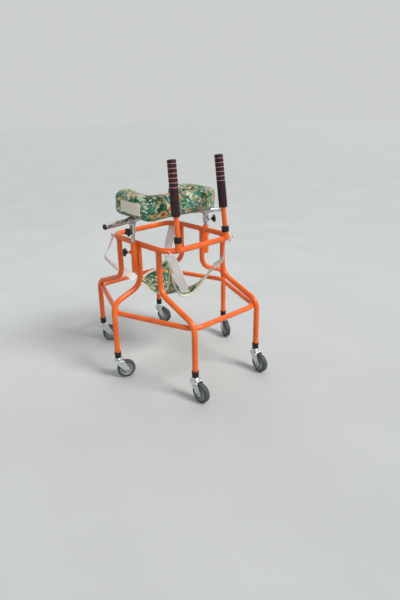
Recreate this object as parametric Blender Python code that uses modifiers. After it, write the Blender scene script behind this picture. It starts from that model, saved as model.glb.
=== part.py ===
"""Walker for a small child: tube frame on six casters, trunk support, sling seat.

Metres, +Z up, floor at z = 0. The child stands inside and faces -Y, so the
child's right side is -X. The origin lies on the floor in the frame's middle plane.
"""

import math

import bmesh
import bpy
from mathutils import Matrix, Vector

# Tubes
FRAME_RADIUS = 0.011
LOWER_RING_RADIUS = 0.010
TUBE_SIDES = 12
PLAIN_SIDES = 16
SMALL_SIDES = 8
GAP = 0.0003
RUN_GAP = 0.0004

# Upper ring
RING_HEIGHT = 0.540
RING_HALF_WIDTH = 0.165
RING_HALF_LENGTH = 0.191
RING_CORNER = 0.060
BEND_STEPS = 4

# Legs: a drop, a sloping step outwards and a second drop
OUTER_LEG_PLACE = 0.1316
MIDDLE_LEG_PLACE = -0.005
OUTER_LEG_STEP = 0.193
MIDDLE_LEG_STEP = 0.1317
STEP_START_HEIGHT = 0.372
STEP_SLOPE = 0.37
UPPER_BEND = 0.062
LOWER_BEND = 0.050
LEG_COPE_DEPTH = 0.004
LEG_BEND_STEPS = 3

# Lower ring, inside the knees
LOWER_RING_BELOW_STEP = 0.0906
LOWER_RING_SINK = 0.0006
LOWER_RING_CORNER = 0.060

# Casters
WHEEL_RADIUS = 0.0375
TYRE_WIDTH = 0.022
TYRE_DEPTH = 0.0100
TYRE_SHOULDER = 0.005
TYRE_SHOULDER_DROP = 0.0035
WHEEL_SIDES = 18
HUB_BOSS_RADIUS = 0.0085
HUB_WEB_WIDTH = 0.007
HUB_BOSS_WIDTH = 0.0240
TRAIL = 0.030
AXLE_RADIUS = 0.0040
AXLE_HEAD_RADIUS = 0.0062
AXLE_HEAD_HEIGHT = 0.0035
FORK_WALL = 0.0025
FORK_CLEARANCE = 0.0013
FORK_BOSS_RADIUS = 0.0090
FORK_FRONT = 0.0150
WHEEL_TO_CROWN = 0.0025
CROWN_RADIUS = 0.0175
CROWN_HEIGHT = 0.0030
DOME_RADIUS = 0.0188
DOME_HEIGHT = 0.0120
KINGPIN_RADIUS = 0.0060
RIVET_RADIUS = 0.0095
RIVET_HEIGHT = 0.0035
STEM_RADIUS = 0.0055
STEM_ABOVE_DOME = 0.0300

# Outlines as shares: the dome's radii and heights, the fork cheek's corners
DOME_NECK_SHARE = 0.55
DOME_SHOULDER = (0.90, 0.62)
DOME_RIM_SHARE = 0.25
RIVET_NECK_SHARE = 0.7
CHEEK_KNEE_SHARE = 1.5
CHEEK_BACK_SHARE = 1.6
CHEEK_TOP_SHARE = 0.6
WEB_LENGTH_SHARE = 1.6
WEB_PLACE_SHARE = 0.3
CHEEK_ARC_START = math.radians(170.0)
CHEEK_ARC_TURN = math.radians(190.0)

# Ferrules on the leg ends
FERRULE_RADIUS = 0.0136
FERRULE_HEIGHT = 0.0250
FERRULE_FLOOR = 0.0030

# Handles
HANDLE_PLACE = Vector((0.1208, -0.1953))
HANDLE_LEAN_BACK = math.radians(6.3)
HANDLE_LEAN_IN = math.radians(1.4)
HANDLE_TUBE_RADIUS = 0.0095
HANDLE_SOCKET_WALL = 0.0028
HANDLE_SOCKET_HEIGHT = 0.0480
HANDLE_SOCKET_FLOOR = 0.0140
HANDLE_COLLAR_WALL = 0.0020
HANDLE_COLLAR_HEIGHT = 0.0220
HANDLE_COLLAR_LIP = 0.0022
GRIP_START = 0.1243
GRIP_LENGTH = 0.1985
GRIP_RADIUS = 0.0165
GRIP_END_WALL = 0.0080
GRIP_END_ROUND = 0.0050
GRIP_TOP_SHARE = 0.55
GRIP_ROUND_SHARES = (0.35, 0.45, 0.12)
GRIP_FOOT_EDGE = 0.0015
GRIP_SIDES = 14
GROOVE_COUNT = 6
GROOVE_PITCH = 0.0164
GROOVE_WIDTH = 0.0034
GROOVE_DEPTH = 0.0016
FIRST_GROOVE_BELOW_TOP = 0.0145

# Posts of the trunk support and their sockets
POST_RADIUS = 0.0080
POST_PLACE_Y = MIDDLE_LEG_PLACE
POST_BELOW_BAR = 0.0012
POST_END_INSIDE_SOCKET = 0.010
SOCKET_WALL = 0.0038
SOCKET_ABOVE_STEP = 0.058
SOCKET_ABOVE_RING = 0.012
SOCKET_KNOB_BELOW_RING = 0.030
SOCKET_KNOB_ANGLE = math.radians(135.0)

# Trunk support: bars, clamps and the tilt at which it was clamped
SUPPORT_TILT = math.radians(3.0)
BAR_RADIUS = 0.0100
BAR_WALL = 0.0016
BAR_YAW = math.radians(20.0)
BAR_INNER_REACH = 0.062
RIGHT_BAR_OUTER_REACH = 0.1560
LEFT_BAR_OUTER_REACH = 0.0640
BAR_PLUG_HEAD = 0.0060
BAR_PLUG_DEPTH = 0.0140
CLAMP_WALL = 0.0042
CLAMP_SLEEVE_BELOW_BAR = 0.050
CLAMP_CROSS_LENGTH = 0.034
SADDLE_DROP = 0.0015
SADDLE_CUT_RADIUS = 0.040
CLAMP_KNOB_BELOW_BAR = 0.0385
CLAMP_KNOB_ANGLE = math.radians(211.0)

# Star knobs
KNOB_LOBES = 5
KNOB_POINTS_PER_LOBE = 4
KNOB_RADIUS = 0.0140
KNOB_LOBE_DEPTH = 0.0026
KNOB_THICKNESS = 0.0110
KNOB_EDGE = 0.0015
KNOB_NECK_RADIUS = 0.0070
KNOB_NECK_LENGTH = 0.0060
KNOB_SCREW_RADIUS = 0.0030
KNOB_BOSS_RADIUS = 0.0068
KNOB_BOSS_LENGTH = 0.0070
KNOB_SCREW_SHOWN = 0.0060

# Trunk pad: a superellipse, open at the rear
PAD_HALF_WIDTH = 0.211
PAD_HALF_LENGTH = 0.132
PAD_CENTRE_Y = 0.0228
PAD_ABOVE_RING = 0.097
PAD_HEIGHT = 0.090
PAD_THICKNESS = 0.070
PAD_SQUARENESS = 4.6
PAD_SKEW = 0.10
PAD_HALF_SWEEP = 2.82
PAD_STATIONS = 17
PAD_SEARCH_COUNT = 600
PAD_TANGENT_STEP = 0.01
PAD_CROWN = 0.0045
PAD_PINCH = 0.80
PAD_FLAT_SHARE = 0.55
PAD_TOP_SHARE = 0.72
PATCH_START = -0.077
PATCH_END = 0.033
PATCH_HEIGHT = 0.050
PATCH_ABOVE_PAD_BOTTOM = 0.013
PATCH_THICKNESS = 0.0012
PATCH_STEPS = 6
PATCH_SEARCH_STEP = 0.002
PATCH_SEARCH_COUNT = 500
PATCH_CLEARANCE = 0.0017

# Sling seat: four corners, measured from the ring's level, drawn in along its edges
SLING_REAR_RIGHT = Vector((-0.112, 0.112, -0.186))
SLING_REAR_LEFT = Vector((0.080, 0.130, -0.130))
SLING_FRONT_RIGHT = Vector((-0.108, -0.122, -0.060))
SLING_FRONT_LEFT = Vector((0.105, -0.140, -0.125))
SLING_WAIST = 0.45
SLING_FRONT_NOTCH = 0.052
SLING_REAR_NOTCH = 0.015
SLING_SAG = 0.132
SLING_SIDE_SAG = 0.108
SLING_FRONT_SAG = 0.152
SLING_REAR_SAG = 0.006
SLING_THICKNESS = 0.0024
FRONT_RIGHT_SEAM = (0.15, -0.85)
SLING_STEPS = 11

# Webbing
WEB_WIDTH = 0.034
WEB_THICKNESS = 0.0015
WEB_STEPS = 12
STRAP_START_ANGLES = (math.radians(58.0), math.radians(104.0))
STRAP_CLEARANCE = 0.0095

# Free stretches of the straps, measured from the ring's level
FRONT_RIGHT_STRAP = ((-0.098, -0.146, -0.078), (-0.060, -0.124, -0.138), (-0.018, -0.092, -0.198))
FRONT_LEFT_STRAP = ((0.126, -0.172, -0.085),)
REAR_RIGHT_STRAP = (
    (-0.186, 0.188, -0.058),
    (-0.199, 0.198, -0.086),
    (-0.184, 0.190, -0.112),
    (-0.160, 0.176, -0.138),
    (-0.132, 0.148, -0.164),
)
REAR_LEFT_STRAP = ((0.100, 0.146, -0.088),)
PEG_RADIUS = 0.0030
PEG_LENGTH = 0.0130
PEG_HEAD_RADIUS = 0.0050
PEG_HEAD_HEIGHT = 0.0025

RIGHT = -1.0
LEFT = 1.0

MATERIALS = {
    "orange_paint": ((0.89, 0.14, 0.022, 1.0), 0.32, 0.0),
    "black_plastic": ((0.018, 0.018, 0.020, 1.0), 0.45, 0.0),
    "grip_rubber": ((0.060, 0.012, 0.022, 1.0), 0.50, 0.0),
    "chrome": ((0.75, 0.75, 0.76, 1.0), 0.12, 1.0),
    "zinc": ((0.62, 0.63, 0.65, 1.0), 0.32, 1.0),
    "hub_grey": ((0.45, 0.47, 0.48, 1.0), 0.50, 0.0),
    "tyre_grey": ((0.11, 0.115, 0.12, 1.0), 0.70, 0.0),
    "printed_cloth": ((0.24, 0.36, 0.20, 1.0), 0.85, 0.0),
    "pale_cloth": ((0.82, 0.78, 0.68, 1.0), 0.90, 0.0),
}


# Scene helpers


def clear_scene():
    """Remove every object that the scene starts with."""
    for item in list(bpy.data.objects):
        bpy.data.objects.remove(item, do_unlink=True)


def make_collection(name):
    group = bpy.data.collections.new(name)
    bpy.context.scene.collection.children.link(group)
    return group


def make_material(name):
    """Return the named finish, made once."""
    found = bpy.data.materials.get(name)
    if found:
        return found
    colour, roughness, metallic = MATERIALS[name]
    finish = bpy.data.materials.new(name)
    finish.use_nodes = True
    shader = finish.node_tree.nodes["Principled BSDF"]
    shader.inputs["Base Color"].default_value = colour
    shader.inputs["Roughness"].default_value = roughness
    shader.inputs["Metallic"].default_value = metallic
    return finish


def add_part(name, data, finish, parent=None):
    """Link a mesh or curve into the walker's collection as a named sub-part."""
    item = bpy.data.objects.new(name, data)
    data.materials.append(make_material(finish))
    PARTS.objects.link(item)
    item.parent = parent
    return item


def add_tool(name, data, parent=None):
    """Link a shape that only cuts or joins, hidden from the render."""
    item = bpy.data.objects.new(name, data)
    TOOLS.objects.link(item)
    item.parent = parent
    item.hide_render = True
    item.display_type = "WIRE"
    return item


def add_empty(name, matrix, parent=None):
    """Place an axis frame that sub-parts are parented to."""
    item = bpy.data.objects.new(name, None)
    PARTS.objects.link(item)
    item.empty_display_size = 0.02
    item.parent = parent
    item.matrix_basis = matrix
    return item


def boolean(item, operation, operand):
    step = item.modifiers.new(operand.name, "BOOLEAN")
    step.operation = operation
    step.solver = "EXACT"
    step.object = operand
    return step


def smooth(mesh, angle=35.0):
    mesh.shade_smooth()
    mesh.set_sharp_from_angle(angle=math.radians(angle))


# Shape helpers


def turned_mesh(name, profile, sides, closed=False):
    """Mesh of a profile turned about Z. The profile runs down its outer side."""
    shape = bpy.data.meshes.new(name)
    points = [(radius, 0.0, height) for radius, height in profile]
    edges = [(i, i + 1) for i in range(len(points) - 1)]
    if closed:
        edges.append((len(points) - 1, 0))
    shape.from_pydata(points, edges, [])
    guide = bpy.data.objects.new(name + "_profile", shape)
    TOOLS.objects.link(guide)
    turn = guide.modifiers.new("turn", "SCREW")
    turn.axis = "Z"
    turn.angle = 2.0 * math.pi
    turn.steps = sides
    turn.render_steps = sides
    turn.use_merge_vertices = True
    turn.merge_threshold = 0.00001
    graph = bpy.context.evaluated_depsgraph_get()
    mesh = bpy.data.meshes.new_from_object(guide.evaluated_get(graph))
    mesh.name = name
    bpy.data.objects.remove(guide, do_unlink=True)
    smooth(mesh)
    return mesh


def cylinder_mesh(name, radius, bottom, top, sides=TUBE_SIDES):
    """Mesh of a cylinder about Z between two heights."""
    mesh = bpy.data.meshes.new(name)
    shape = bmesh.new()
    middle = Matrix.Translation((0.0, 0.0, (bottom + top) / 2.0))
    bmesh.ops.create_cone(
        shape,
        cap_ends=True,
        segments=sides,
        radius1=radius,
        radius2=radius,
        depth=top - bottom,
        matrix=middle,
    )
    shape.to_mesh(mesh)
    shape.free()
    smooth(mesh)
    return mesh


def tube_mesh(name, points, radius, cyclic=False, sides=TUBE_SIDES):
    """Mesh of a round tube along a line of points, with welded end caps."""
    path = bpy.data.curves.new(name, "CURVE")
    path.dimensions = "3D"
    path.bevel_depth = radius
    path.bevel_resolution = (sides - 4) // 2
    path.use_fill_caps = not cyclic
    line = path.splines.new("POLY")
    line.points.add(len(points) - 1)
    for node, place in zip(line.points, points):
        node.co = (*place, 1.0)
    line.use_cyclic_u = cyclic
    guide = bpy.data.objects.new(name + "_path", path)
    TOOLS.objects.link(guide)
    graph = bpy.context.evaluated_depsgraph_get()
    mesh = bpy.data.meshes.new_from_object(guide.evaluated_get(graph))
    mesh.name = name
    bpy.data.objects.remove(guide, do_unlink=True)
    bpy.data.curves.remove(path)
    shape = bmesh.new()
    shape.from_mesh(mesh)
    bmesh.ops.remove_doubles(shape, verts=shape.verts, dist=0.00001)
    bmesh.ops.recalc_face_normals(shape, faces=shape.faces)
    shape.to_mesh(mesh)
    shape.free()
    mesh.materials.clear()
    smooth(mesh)
    return mesh


def rounded_path(corners, radii, steps, cyclic=False):
    """Points of a line whose corners are arcs of the given radii."""
    corners = [Vector(corner) for corner in corners]
    count = len(corners)
    path = []
    for index, corner in enumerate(corners):
        if not cyclic and index in (0, count - 1):
            path.append(corner)
            continue
        before = (corners[index - 1] - corner).normalized()
        after = (corners[(index + 1) % count] - corner).normalized()
        half = before.angle(after) / 2.0
        radius = radii[index]
        centre = corner + (before + after).normalized() * radius / math.sin(half)
        start = corner + before * radius / math.tan(half) - centre
        end = corner + after * radius / math.tan(half) - centre
        turn = start.angle(end)
        for step in range(steps + 1):
            share = step / steps
            place = start * math.sin((1.0 - share) * turn) + end * math.sin(share * turn)
            path.append(centre + place / math.sin(turn))
    return path


def sheet_mesh(name, rows):
    """Mesh of an open surface over a grid of points."""
    mesh = bpy.data.meshes.new(name)
    width = len(rows[0])
    points = [point for row in rows for point in row]
    faces = []
    for row in range(len(rows) - 1):
        for column in range(width - 1):
            corner = row * width + column
            faces.append((corner, corner + 1, corner + width + 1, corner + width))
    mesh.from_pydata(points, [], faces)
    smooth(mesh, 60.0)
    return mesh


def thicken(item, thickness):
    """Give an open surface its thickness, half to each side."""
    shell = item.modifiers.new("cloth", "SOLIDIFY")
    shell.thickness = thickness
    shell.offset = 0.0


def axis_frame(place, direction):
    """Matrix whose origin is at a place and whose Z lies along a direction."""
    turn = Vector((0.0, 0.0, 1.0)).rotation_difference(Vector(direction))
    return Matrix.Translation(place) @ turn.to_matrix().to_4x4()


# Frame


def ring_path():
    """Centre line of the upper ring."""
    signs = ((1, 1), (-1, 1), (-1, -1), (1, -1))
    corners = [(x * RING_HALF_WIDTH, y * RING_HALF_LENGTH, RING_HEIGHT) for x, y in signs]
    return rounded_path(corners, [RING_CORNER] * 4, BEND_STEPS, cyclic=True)


def leg_layout():
    """Name, top of the leg on the ring, and direction and length of its step."""
    layout = []
    for side, side_name in ((RIGHT, "right"), (LEFT, "left")):
        x = side * RING_HALF_WIDTH
        rear = Vector((x, OUTER_LEG_PLACE, 0.0))
        middle = Vector((x, MIDDLE_LEG_PLACE, 0.0))
        front = Vector((x, -OUTER_LEG_PLACE, 0.0))
        layout.append(("rear_" + side_name, rear, Vector((0.0, 1.0, 0.0)), OUTER_LEG_STEP))
        layout.append(("middle_" + side_name, middle, Vector((side, 0.0, 0.0)), MIDDLE_LEG_STEP))
        layout.append(("front_" + side_name, front, Vector((0.0, -1.0, 0.0)), OUTER_LEG_STEP))
    return layout


def crown_bottom():
    """Height of the underside of every fork crown."""
    return 2.0 * WHEEL_RADIUS + WHEEL_TO_CROWN


def ferrule_bottom():
    return crown_bottom() + CROWN_HEIGHT + GAP + DOME_HEIGHT + GAP


def leg_bottom():
    return ferrule_bottom() + FERRULE_FLOOR + GAP


def leg_path(top, outwards, step):
    """Centre line of a leg with its two bends."""
    up = Vector((0.0, 0.0, 1.0))
    corners = [
        top + up * (RING_HEIGHT - LEG_COPE_DEPTH),
        top + up * STEP_START_HEIGHT,
        top + outwards * step + up * (STEP_START_HEIGHT - STEP_SLOPE * step),
        top + outwards * step + up * leg_bottom(),
    ]
    return rounded_path(corners, [0.0, UPPER_BEND, LOWER_BEND, 0.0], LEG_BEND_STEPS)


def build_upper_ring():
    """Upper ring with its welded pegs and handle sockets. Returns the cutter for copes."""
    ring = add_part("upper_ring", tube_mesh("upper_ring", ring_path(), FRAME_RADIUS, True), "orange_paint")
    for name, (place, direction) in corner_peg_places().items():
        peg = add_tool("peg_" + name, peg_mesh())
        peg.matrix_basis = axis_frame(place, direction)
        boolean(ring, "UNION", peg)
    bore_radius = HANDLE_TUBE_RADIUS + RUN_GAP
    outer = bore_radius + HANDLE_SOCKET_WALL
    for side, side_name in ((RIGHT, "right"), (LEFT, "left")):
        label = "handle_socket_" + side_name
        socket = add_tool(label, cylinder_mesh(label, outer, 0.0, HANDLE_SOCKET_HEIGHT, PLAIN_SIDES))
        socket.matrix_basis = handle_frame(side)
        boolean(ring, "UNION", socket)
    for side, side_name in ((RIGHT, "right"), (LEFT, "left")):
        label = "handle_bore_" + side_name
        top = HANDLE_SOCKET_HEIGHT + GAP
        bore = add_tool(label, cylinder_mesh(label, bore_radius, HANDLE_SOCKET_FLOOR, top, PLAIN_SIDES))
        bore.matrix_basis = handle_frame(side)
        boolean(ring, "DIFFERENCE", bore)
    return add_tool("ring_cope", tube_mesh("ring_cope", ring_path(), FRAME_RADIUS + GAP, True))


def build_lower_ring(legs):
    """Six-sided ring inside the knees, bent round each leg, which the legs then notch."""
    order = ("rear_left", "middle_left", "front_left", "front_right", "middle_right", "rear_right")
    height = Vector((0.0, 0.0, STEP_START_HEIGHT - LOWER_RING_BELOW_STEP))
    places = {name: top + outwards * step + height for name, top, outwards, step in legs}
    feet = [places[name] for name in order]
    bend_inset = FRAME_RADIUS + LOWER_RING_RADIUS - LOWER_RING_SINK + LOWER_RING_CORNER
    corners = []
    for index, foot in enumerate(feet):
        before = (feet[index - 1] - foot).normalized()
        after = (feet[(index + 1) % len(feet)] - foot).normalized()
        corner_inset = bend_inset - LOWER_RING_CORNER / math.sin(before.angle(after) / 2.0)
        corners.append(foot + (before + after).normalized() * corner_inset)
    path = rounded_path(corners, [LOWER_RING_CORNER] * len(corners), LEG_BEND_STEPS, cyclic=True)
    lower = tube_mesh("lower_ring", path, LOWER_RING_RADIUS, True)
    return add_part("lower_ring", lower, "orange_paint")


def build_leg(name, path, cope, lower_ring):
    """One bent leg, coped to the upper ring, with a bore for the caster's stem."""
    leg = add_part("leg_" + name, tube_mesh("leg_" + name, path, FRAME_RADIUS), "orange_paint")
    boolean(leg, "DIFFERENCE", cope)
    foot = path[-1]
    stem_top = ferrule_bottom() + STEM_ABOVE_DOME
    bore = cylinder_mesh("stem_bore_" + name, STEM_RADIUS + RUN_GAP, foot.z - GAP, stem_top)
    bore_tool = add_tool("stem_bore_" + name, bore)
    bore_tool.location = (foot.x, foot.y, 0.0)
    boolean(leg, "DIFFERENCE", bore_tool)
    notch = tube_mesh("leg_notch_" + name, path, FRAME_RADIUS + GAP)
    boolean(lower_ring, "DIFFERENCE", add_tool("leg_notch_" + name, notch))
    return leg


def build_ferrule(name, foot):
    """Black cap on a leg's end, with a hole for the caster's stem."""
    bore = FRAME_RADIUS + GAP
    hole = STEM_RADIUS + RUN_GAP
    bottom = ferrule_bottom()
    top = bottom + FERRULE_HEIGHT
    edge = FERRULE_FLOOR / 2.0
    profile = [
        (bore, top),
        (FERRULE_RADIUS - edge, top),
        (FERRULE_RADIUS, top - edge),
        (FERRULE_RADIUS, bottom),
        (hole, bottom),
        (hole, bottom + FERRULE_FLOOR),
        (bore, bottom + FERRULE_FLOOR),
    ]
    shape = turned_mesh("ferrule", profile, TUBE_SIDES, closed=True)
    cap = add_part("ferrule_" + name, shape, "black_plastic")
    cap.location = (foot.x, foot.y, 0.0)


def build_stem(name, foot):
    """Caster stem with its bearing dome and the riveted kingpin below."""
    crown = crown_bottom()
    seat = crown + CROWN_HEIGHT + GAP
    dome_top = seat + DOME_HEIGHT
    rivet_top = crown - GAP
    profile = [
        (0.0, ferrule_bottom() + STEM_ABOVE_DOME - GAP),
        (STEM_RADIUS, ferrule_bottom() + STEM_ABOVE_DOME - GAP),
        (STEM_RADIUS, dome_top),
        (DOME_RADIUS * DOME_NECK_SHARE, dome_top),
        (DOME_RADIUS * DOME_SHOULDER[0], seat + DOME_HEIGHT * DOME_SHOULDER[1]),
        (DOME_RADIUS, seat + DOME_HEIGHT * DOME_RIM_SHARE),
        (DOME_RADIUS, seat),
        (KINGPIN_RADIUS, seat),
        (KINGPIN_RADIUS, rivet_top),
        (RIVET_RADIUS, rivet_top),
        (RIVET_RADIUS * RIVET_NECK_SHARE, rivet_top - RIVET_HEIGHT),
        (0.0, rivet_top - RIVET_HEIGHT),
    ]
    stem = add_part("caster_" + name + "_stem", turned_mesh("stem", profile, TUBE_SIDES), "zinc")
    stem.location = (foot.x, foot.y, 0.0)


# Casters


def fork_cheek(name, side):
    """One flat cheek of a fork, parallel to the wheel."""
    top = crown_bottom() + CROWN_HEIGHT
    outline = [
        (-FORK_FRONT, top),
        (-FORK_FRONT, crown_bottom() - CROWN_HEIGHT),
        (TRAIL - FORK_BOSS_RADIUS * CHEEK_KNEE_SHARE, WHEEL_RADIUS + FORK_BOSS_RADIUS),
    ]
    for step in range(BEND_STEPS + 1):
        angle = CHEEK_ARC_START + CHEEK_ARC_TURN * step / BEND_STEPS
        across = TRAIL + FORK_BOSS_RADIUS * math.cos(angle)
        outline.append((across, WHEEL_RADIUS + FORK_BOSS_RADIUS * math.sin(angle)))
    outline.append((TRAIL + FORK_BOSS_RADIUS, WHEEL_RADIUS + FORK_BOSS_RADIUS * CHEEK_BACK_SHARE))
    outline.append((FORK_FRONT + FORK_BOSS_RADIUS * CHEEK_TOP_SHARE, top))
    shape = bmesh.new()
    middle = side * (HUB_BOSS_WIDTH / 2.0 + FORK_CLEARANCE + FORK_WALL / 2.0)
    inner = middle - FORK_WALL / 2.0
    corners = [shape.verts.new((across, inner, height)) for across, height in outline]
    face = shape.faces.new(corners)
    grown = bmesh.ops.extrude_face_region(shape, geom=[face])
    moved = [part for part in grown["geom"] if isinstance(part, bmesh.types.BMVert)]
    bmesh.ops.translate(shape, verts=moved, vec=(0.0, FORK_WALL, 0.0))
    bmesh.ops.recalc_face_normals(shape, faces=shape.faces)
    mesh = bpy.data.meshes.new(name)
    shape.to_mesh(mesh)
    shape.free()
    return mesh


def fork_mesh_parts():
    """Shapes that a fork is joined and cut from, shared by the six casters."""
    half = HUB_BOSS_WIDTH / 2.0 + FORK_CLEARANCE + FORK_WALL
    bottom = crown_bottom()
    web = bpy.data.meshes.new("fork_web")
    shape = bmesh.new()
    size = (FORK_FRONT * WEB_LENGTH_SHARE, 2.0 * half - FORK_WALL, CROWN_HEIGHT)
    place = Matrix.Translation((FORK_FRONT * WEB_PLACE_SHARE, 0.0, bottom + CROWN_HEIGHT / 2.0))
    bmesh.ops.create_cube(shape, size=1.0, matrix=place @ Matrix.Diagonal((*size, 1.0)))
    shape.to_mesh(web)
    shape.free()
    crown = cylinder_mesh("fork_crown", CROWN_RADIUS, bottom, bottom + CROWN_HEIGHT, PLAIN_SIDES)
    hole = cylinder_mesh("fork_hole", KINGPIN_RADIUS + RUN_GAP, bottom - GAP, bottom + CROWN_HEIGHT + GAP)
    return crown, web, hole


def build_caster(name, foot, heading, shapes):
    """Fork with its riveted axle, hub and tyre of one caster, on the swivel's axis."""
    label = "caster_" + name
    crown, web, hole = shapes
    turn = Matrix.Rotation(math.radians(heading), 4, "Z")
    swivel = add_empty(label + "_swivel", Matrix.Translation((foot.x, foot.y, 0.0)) @ turn)
    fork = add_part(label + "_fork", crown.copy(), "zinc", swivel)
    boolean(fork, "UNION", add_tool(label + "_web", web.copy(), swivel))
    for side in (RIGHT, LEFT):
        cheek_name = label + "_cheek_" + ("right" if side == RIGHT else "left")
        boolean(fork, "UNION", add_tool(cheek_name, fork_cheek(cheek_name, side), swivel))
    boolean(fork, "DIFFERENCE", add_tool(label + "_kingpin_hole", hole.copy(), swivel))
    axle_place = Matrix.Translation((TRAIL, 0.0, WHEEL_RADIUS))
    axle_turn = Matrix.Rotation(math.radians(-90.0), 4, "X")
    axle_frame = add_empty(label + "_axis", axle_place @ axle_turn, swivel)
    boolean(fork, "UNION", add_tool(label + "_axle", axle_shape(), axle_frame))
    flat_down = Matrix.Rotation(math.pi / 2.0 - math.pi / WHEEL_SIDES, 4, "Z")
    wheel_frame = add_empty(label + "_wheel", flat_down, axle_frame)
    add_part(label + "_hub", hub_shape(), "hub_grey", wheel_frame)
    add_part(label + "_tyre", tyre_shape(), "tyre_grey", wheel_frame)


def axle_shape():
    """Bolt through both cheeks, with a head and a nut of equal size."""
    half = HUB_BOSS_WIDTH / 2.0 + FORK_CLEARANCE + FORK_WALL / 2.0
    profile = [
        (0.0, half + FORK_WALL / 2.0 + AXLE_HEAD_HEIGHT),
        (AXLE_HEAD_RADIUS, half + FORK_WALL / 2.0 + AXLE_HEAD_HEIGHT),
        (AXLE_HEAD_RADIUS, half),
        (AXLE_RADIUS, half),
        (AXLE_RADIUS, -half),
        (AXLE_HEAD_RADIUS, -half),
        (AXLE_HEAD_RADIUS, -half - FORK_WALL / 2.0 - AXLE_HEAD_HEIGHT),
        (0.0, -half - FORK_WALL / 2.0 - AXLE_HEAD_HEIGHT),
    ]
    return turned_mesh("axle", profile, TUBE_SIDES)


def corner_radius(radius):
    """Radius to the corners of a polygon whose flats lie at a radius."""
    return radius / math.cos(math.pi / WHEEL_SIDES)


def hub_shape():
    """Wheel centre: boss, thin web and the rim that carries the tyre."""
    boss = HUB_BOSS_WIDTH / 2.0
    rim = TYRE_WIDTH / 2.0 - GAP
    web = HUB_WEB_WIDTH / 2.0
    rim_radius = corner_radius(WHEEL_RADIUS - TYRE_DEPTH) - GAP
    rim_inner = rim_radius - HUB_WEB_WIDTH / 2.0
    bore = AXLE_RADIUS + RUN_GAP
    upper = [
        (bore, boss),
        (HUB_BOSS_RADIUS, boss),
        (HUB_BOSS_RADIUS, web),
        (rim_inner, web),
        (rim_inner, rim),
        (rim_radius, rim),
    ]
    lower = [(radius, -height) for radius, height in reversed(upper)]
    return turned_mesh("hub", upper + lower, WHEEL_SIDES, closed=True)


def tyre_shape():
    """Tyre ring with a flat tread and bevelled shoulders."""
    half = TYRE_WIDTH / 2.0
    tread = half - TYRE_SHOULDER
    outer = corner_radius(WHEEL_RADIUS)
    shoulder = corner_radius(WHEEL_RADIUS - TYRE_SHOULDER_DROP)
    inner = corner_radius(WHEEL_RADIUS - TYRE_DEPTH)
    profile = [
        (inner, half),
        (shoulder, half),
        (outer, tread),
        (outer, -tread),
        (shoulder, -half),
        (inner, -half),
    ]
    return turned_mesh("tyre", profile, WHEEL_SIDES, closed=True)


# Handles


def handle_frame(side):
    """Axis frame of a handle: its origin is on the front bar, its Z up the handle."""
    lean = Vector((-side * math.tan(HANDLE_LEAN_IN), math.tan(HANDLE_LEAN_BACK), 1.0))
    place = (side * HANDLE_PLACE.x, HANDLE_PLACE.y, RING_HEIGHT)
    return axis_frame(place, lean)


def grip_profile(bore):
    """Outer side of a grip from its domed top down over the grooves, then the bore."""
    top = GRIP_START + GRIP_LENGTH
    side, down, flat = GRIP_ROUND_SHARES
    profile = [(0.0, top), (GRIP_RADIUS * GRIP_TOP_SHARE, top - GRIP_END_ROUND * flat)]
    profile.append((GRIP_RADIUS - GRIP_END_ROUND * side, top - GRIP_END_ROUND * down))
    profile.append((GRIP_RADIUS, top - GRIP_END_ROUND))
    for groove in range(GROOVE_COUNT):
        middle = top - FIRST_GROOVE_BELOW_TOP - groove * GROOVE_PITCH
        bottom = GRIP_RADIUS - GROOVE_DEPTH
        profile.append((GRIP_RADIUS, middle + GROOVE_WIDTH / 2.0))
        profile.append((bottom, middle + GROOVE_WIDTH / 6.0))
        profile.append((bottom, middle - GROOVE_WIDTH / 6.0))
        profile.append((GRIP_RADIUS, middle - GROOVE_WIDTH / 2.0))
    edge = GRIP_FOOT_EDGE
    profile.append((GRIP_RADIUS, GRIP_START + edge))
    profile.append((GRIP_RADIUS - edge, GRIP_START))
    profile.append((bore, GRIP_START))
    profile.append((bore, top - GRIP_END_WALL))
    profile.append((0.0, top - GRIP_END_WALL))
    return profile


def build_handle(side, side_name):
    """Tube, grip and socket collar of one handle."""
    base = add_empty("handle_" + side_name + "_axis", handle_frame(side))
    bore = HANDLE_TUBE_RADIUS + RUN_GAP
    outer = bore + HANDLE_SOCKET_WALL
    tube_top = GRIP_START + GRIP_LENGTH - GRIP_END_WALL - GAP
    tube = cylinder_mesh("handle_tube", HANDLE_TUBE_RADIUS, HANDLE_SOCKET_FLOOR + GAP, tube_top, PLAIN_SIDES)
    add_part("handle_tube_" + side_name, tube, "orange_paint", base)
    grip = turned_mesh("grip", grip_profile(HANDLE_TUBE_RADIUS + GAP), GRIP_SIDES)
    add_part("grip_" + side_name, grip, "grip_rubber", base)
    collar_bore = outer + GAP
    collar_outer = collar_bore + HANDLE_COLLAR_WALL
    lip = HANDLE_SOCKET_HEIGHT + GAP
    collar_top = lip + HANDLE_COLLAR_LIP
    edge = HANDLE_COLLAR_WALL / 2.0
    collar_profile = [
        (bore, collar_top),
        (collar_outer - edge, collar_top),
        (collar_outer, collar_top - edge),
        (collar_outer, collar_top - HANDLE_COLLAR_HEIGHT),
        (collar_bore, collar_top - HANDLE_COLLAR_HEIGHT),
        (collar_bore, lip),
        (bore, lip),
    ]
    collar = turned_mesh("collar", collar_profile, PLAIN_SIDES, closed=True)
    add_part("handle_collar_" + side_name, collar, "black_plastic", base)


# Knobs


def knob_direction(side, angle):
    """Horizontal unit vector of a knob's screw, mirrored for the left side."""
    return Vector((-side * math.cos(angle), math.sin(angle), 0.0))


def boss_end(sleeve_radius):
    return sleeve_radius + KNOB_BOSS_LENGTH


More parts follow.
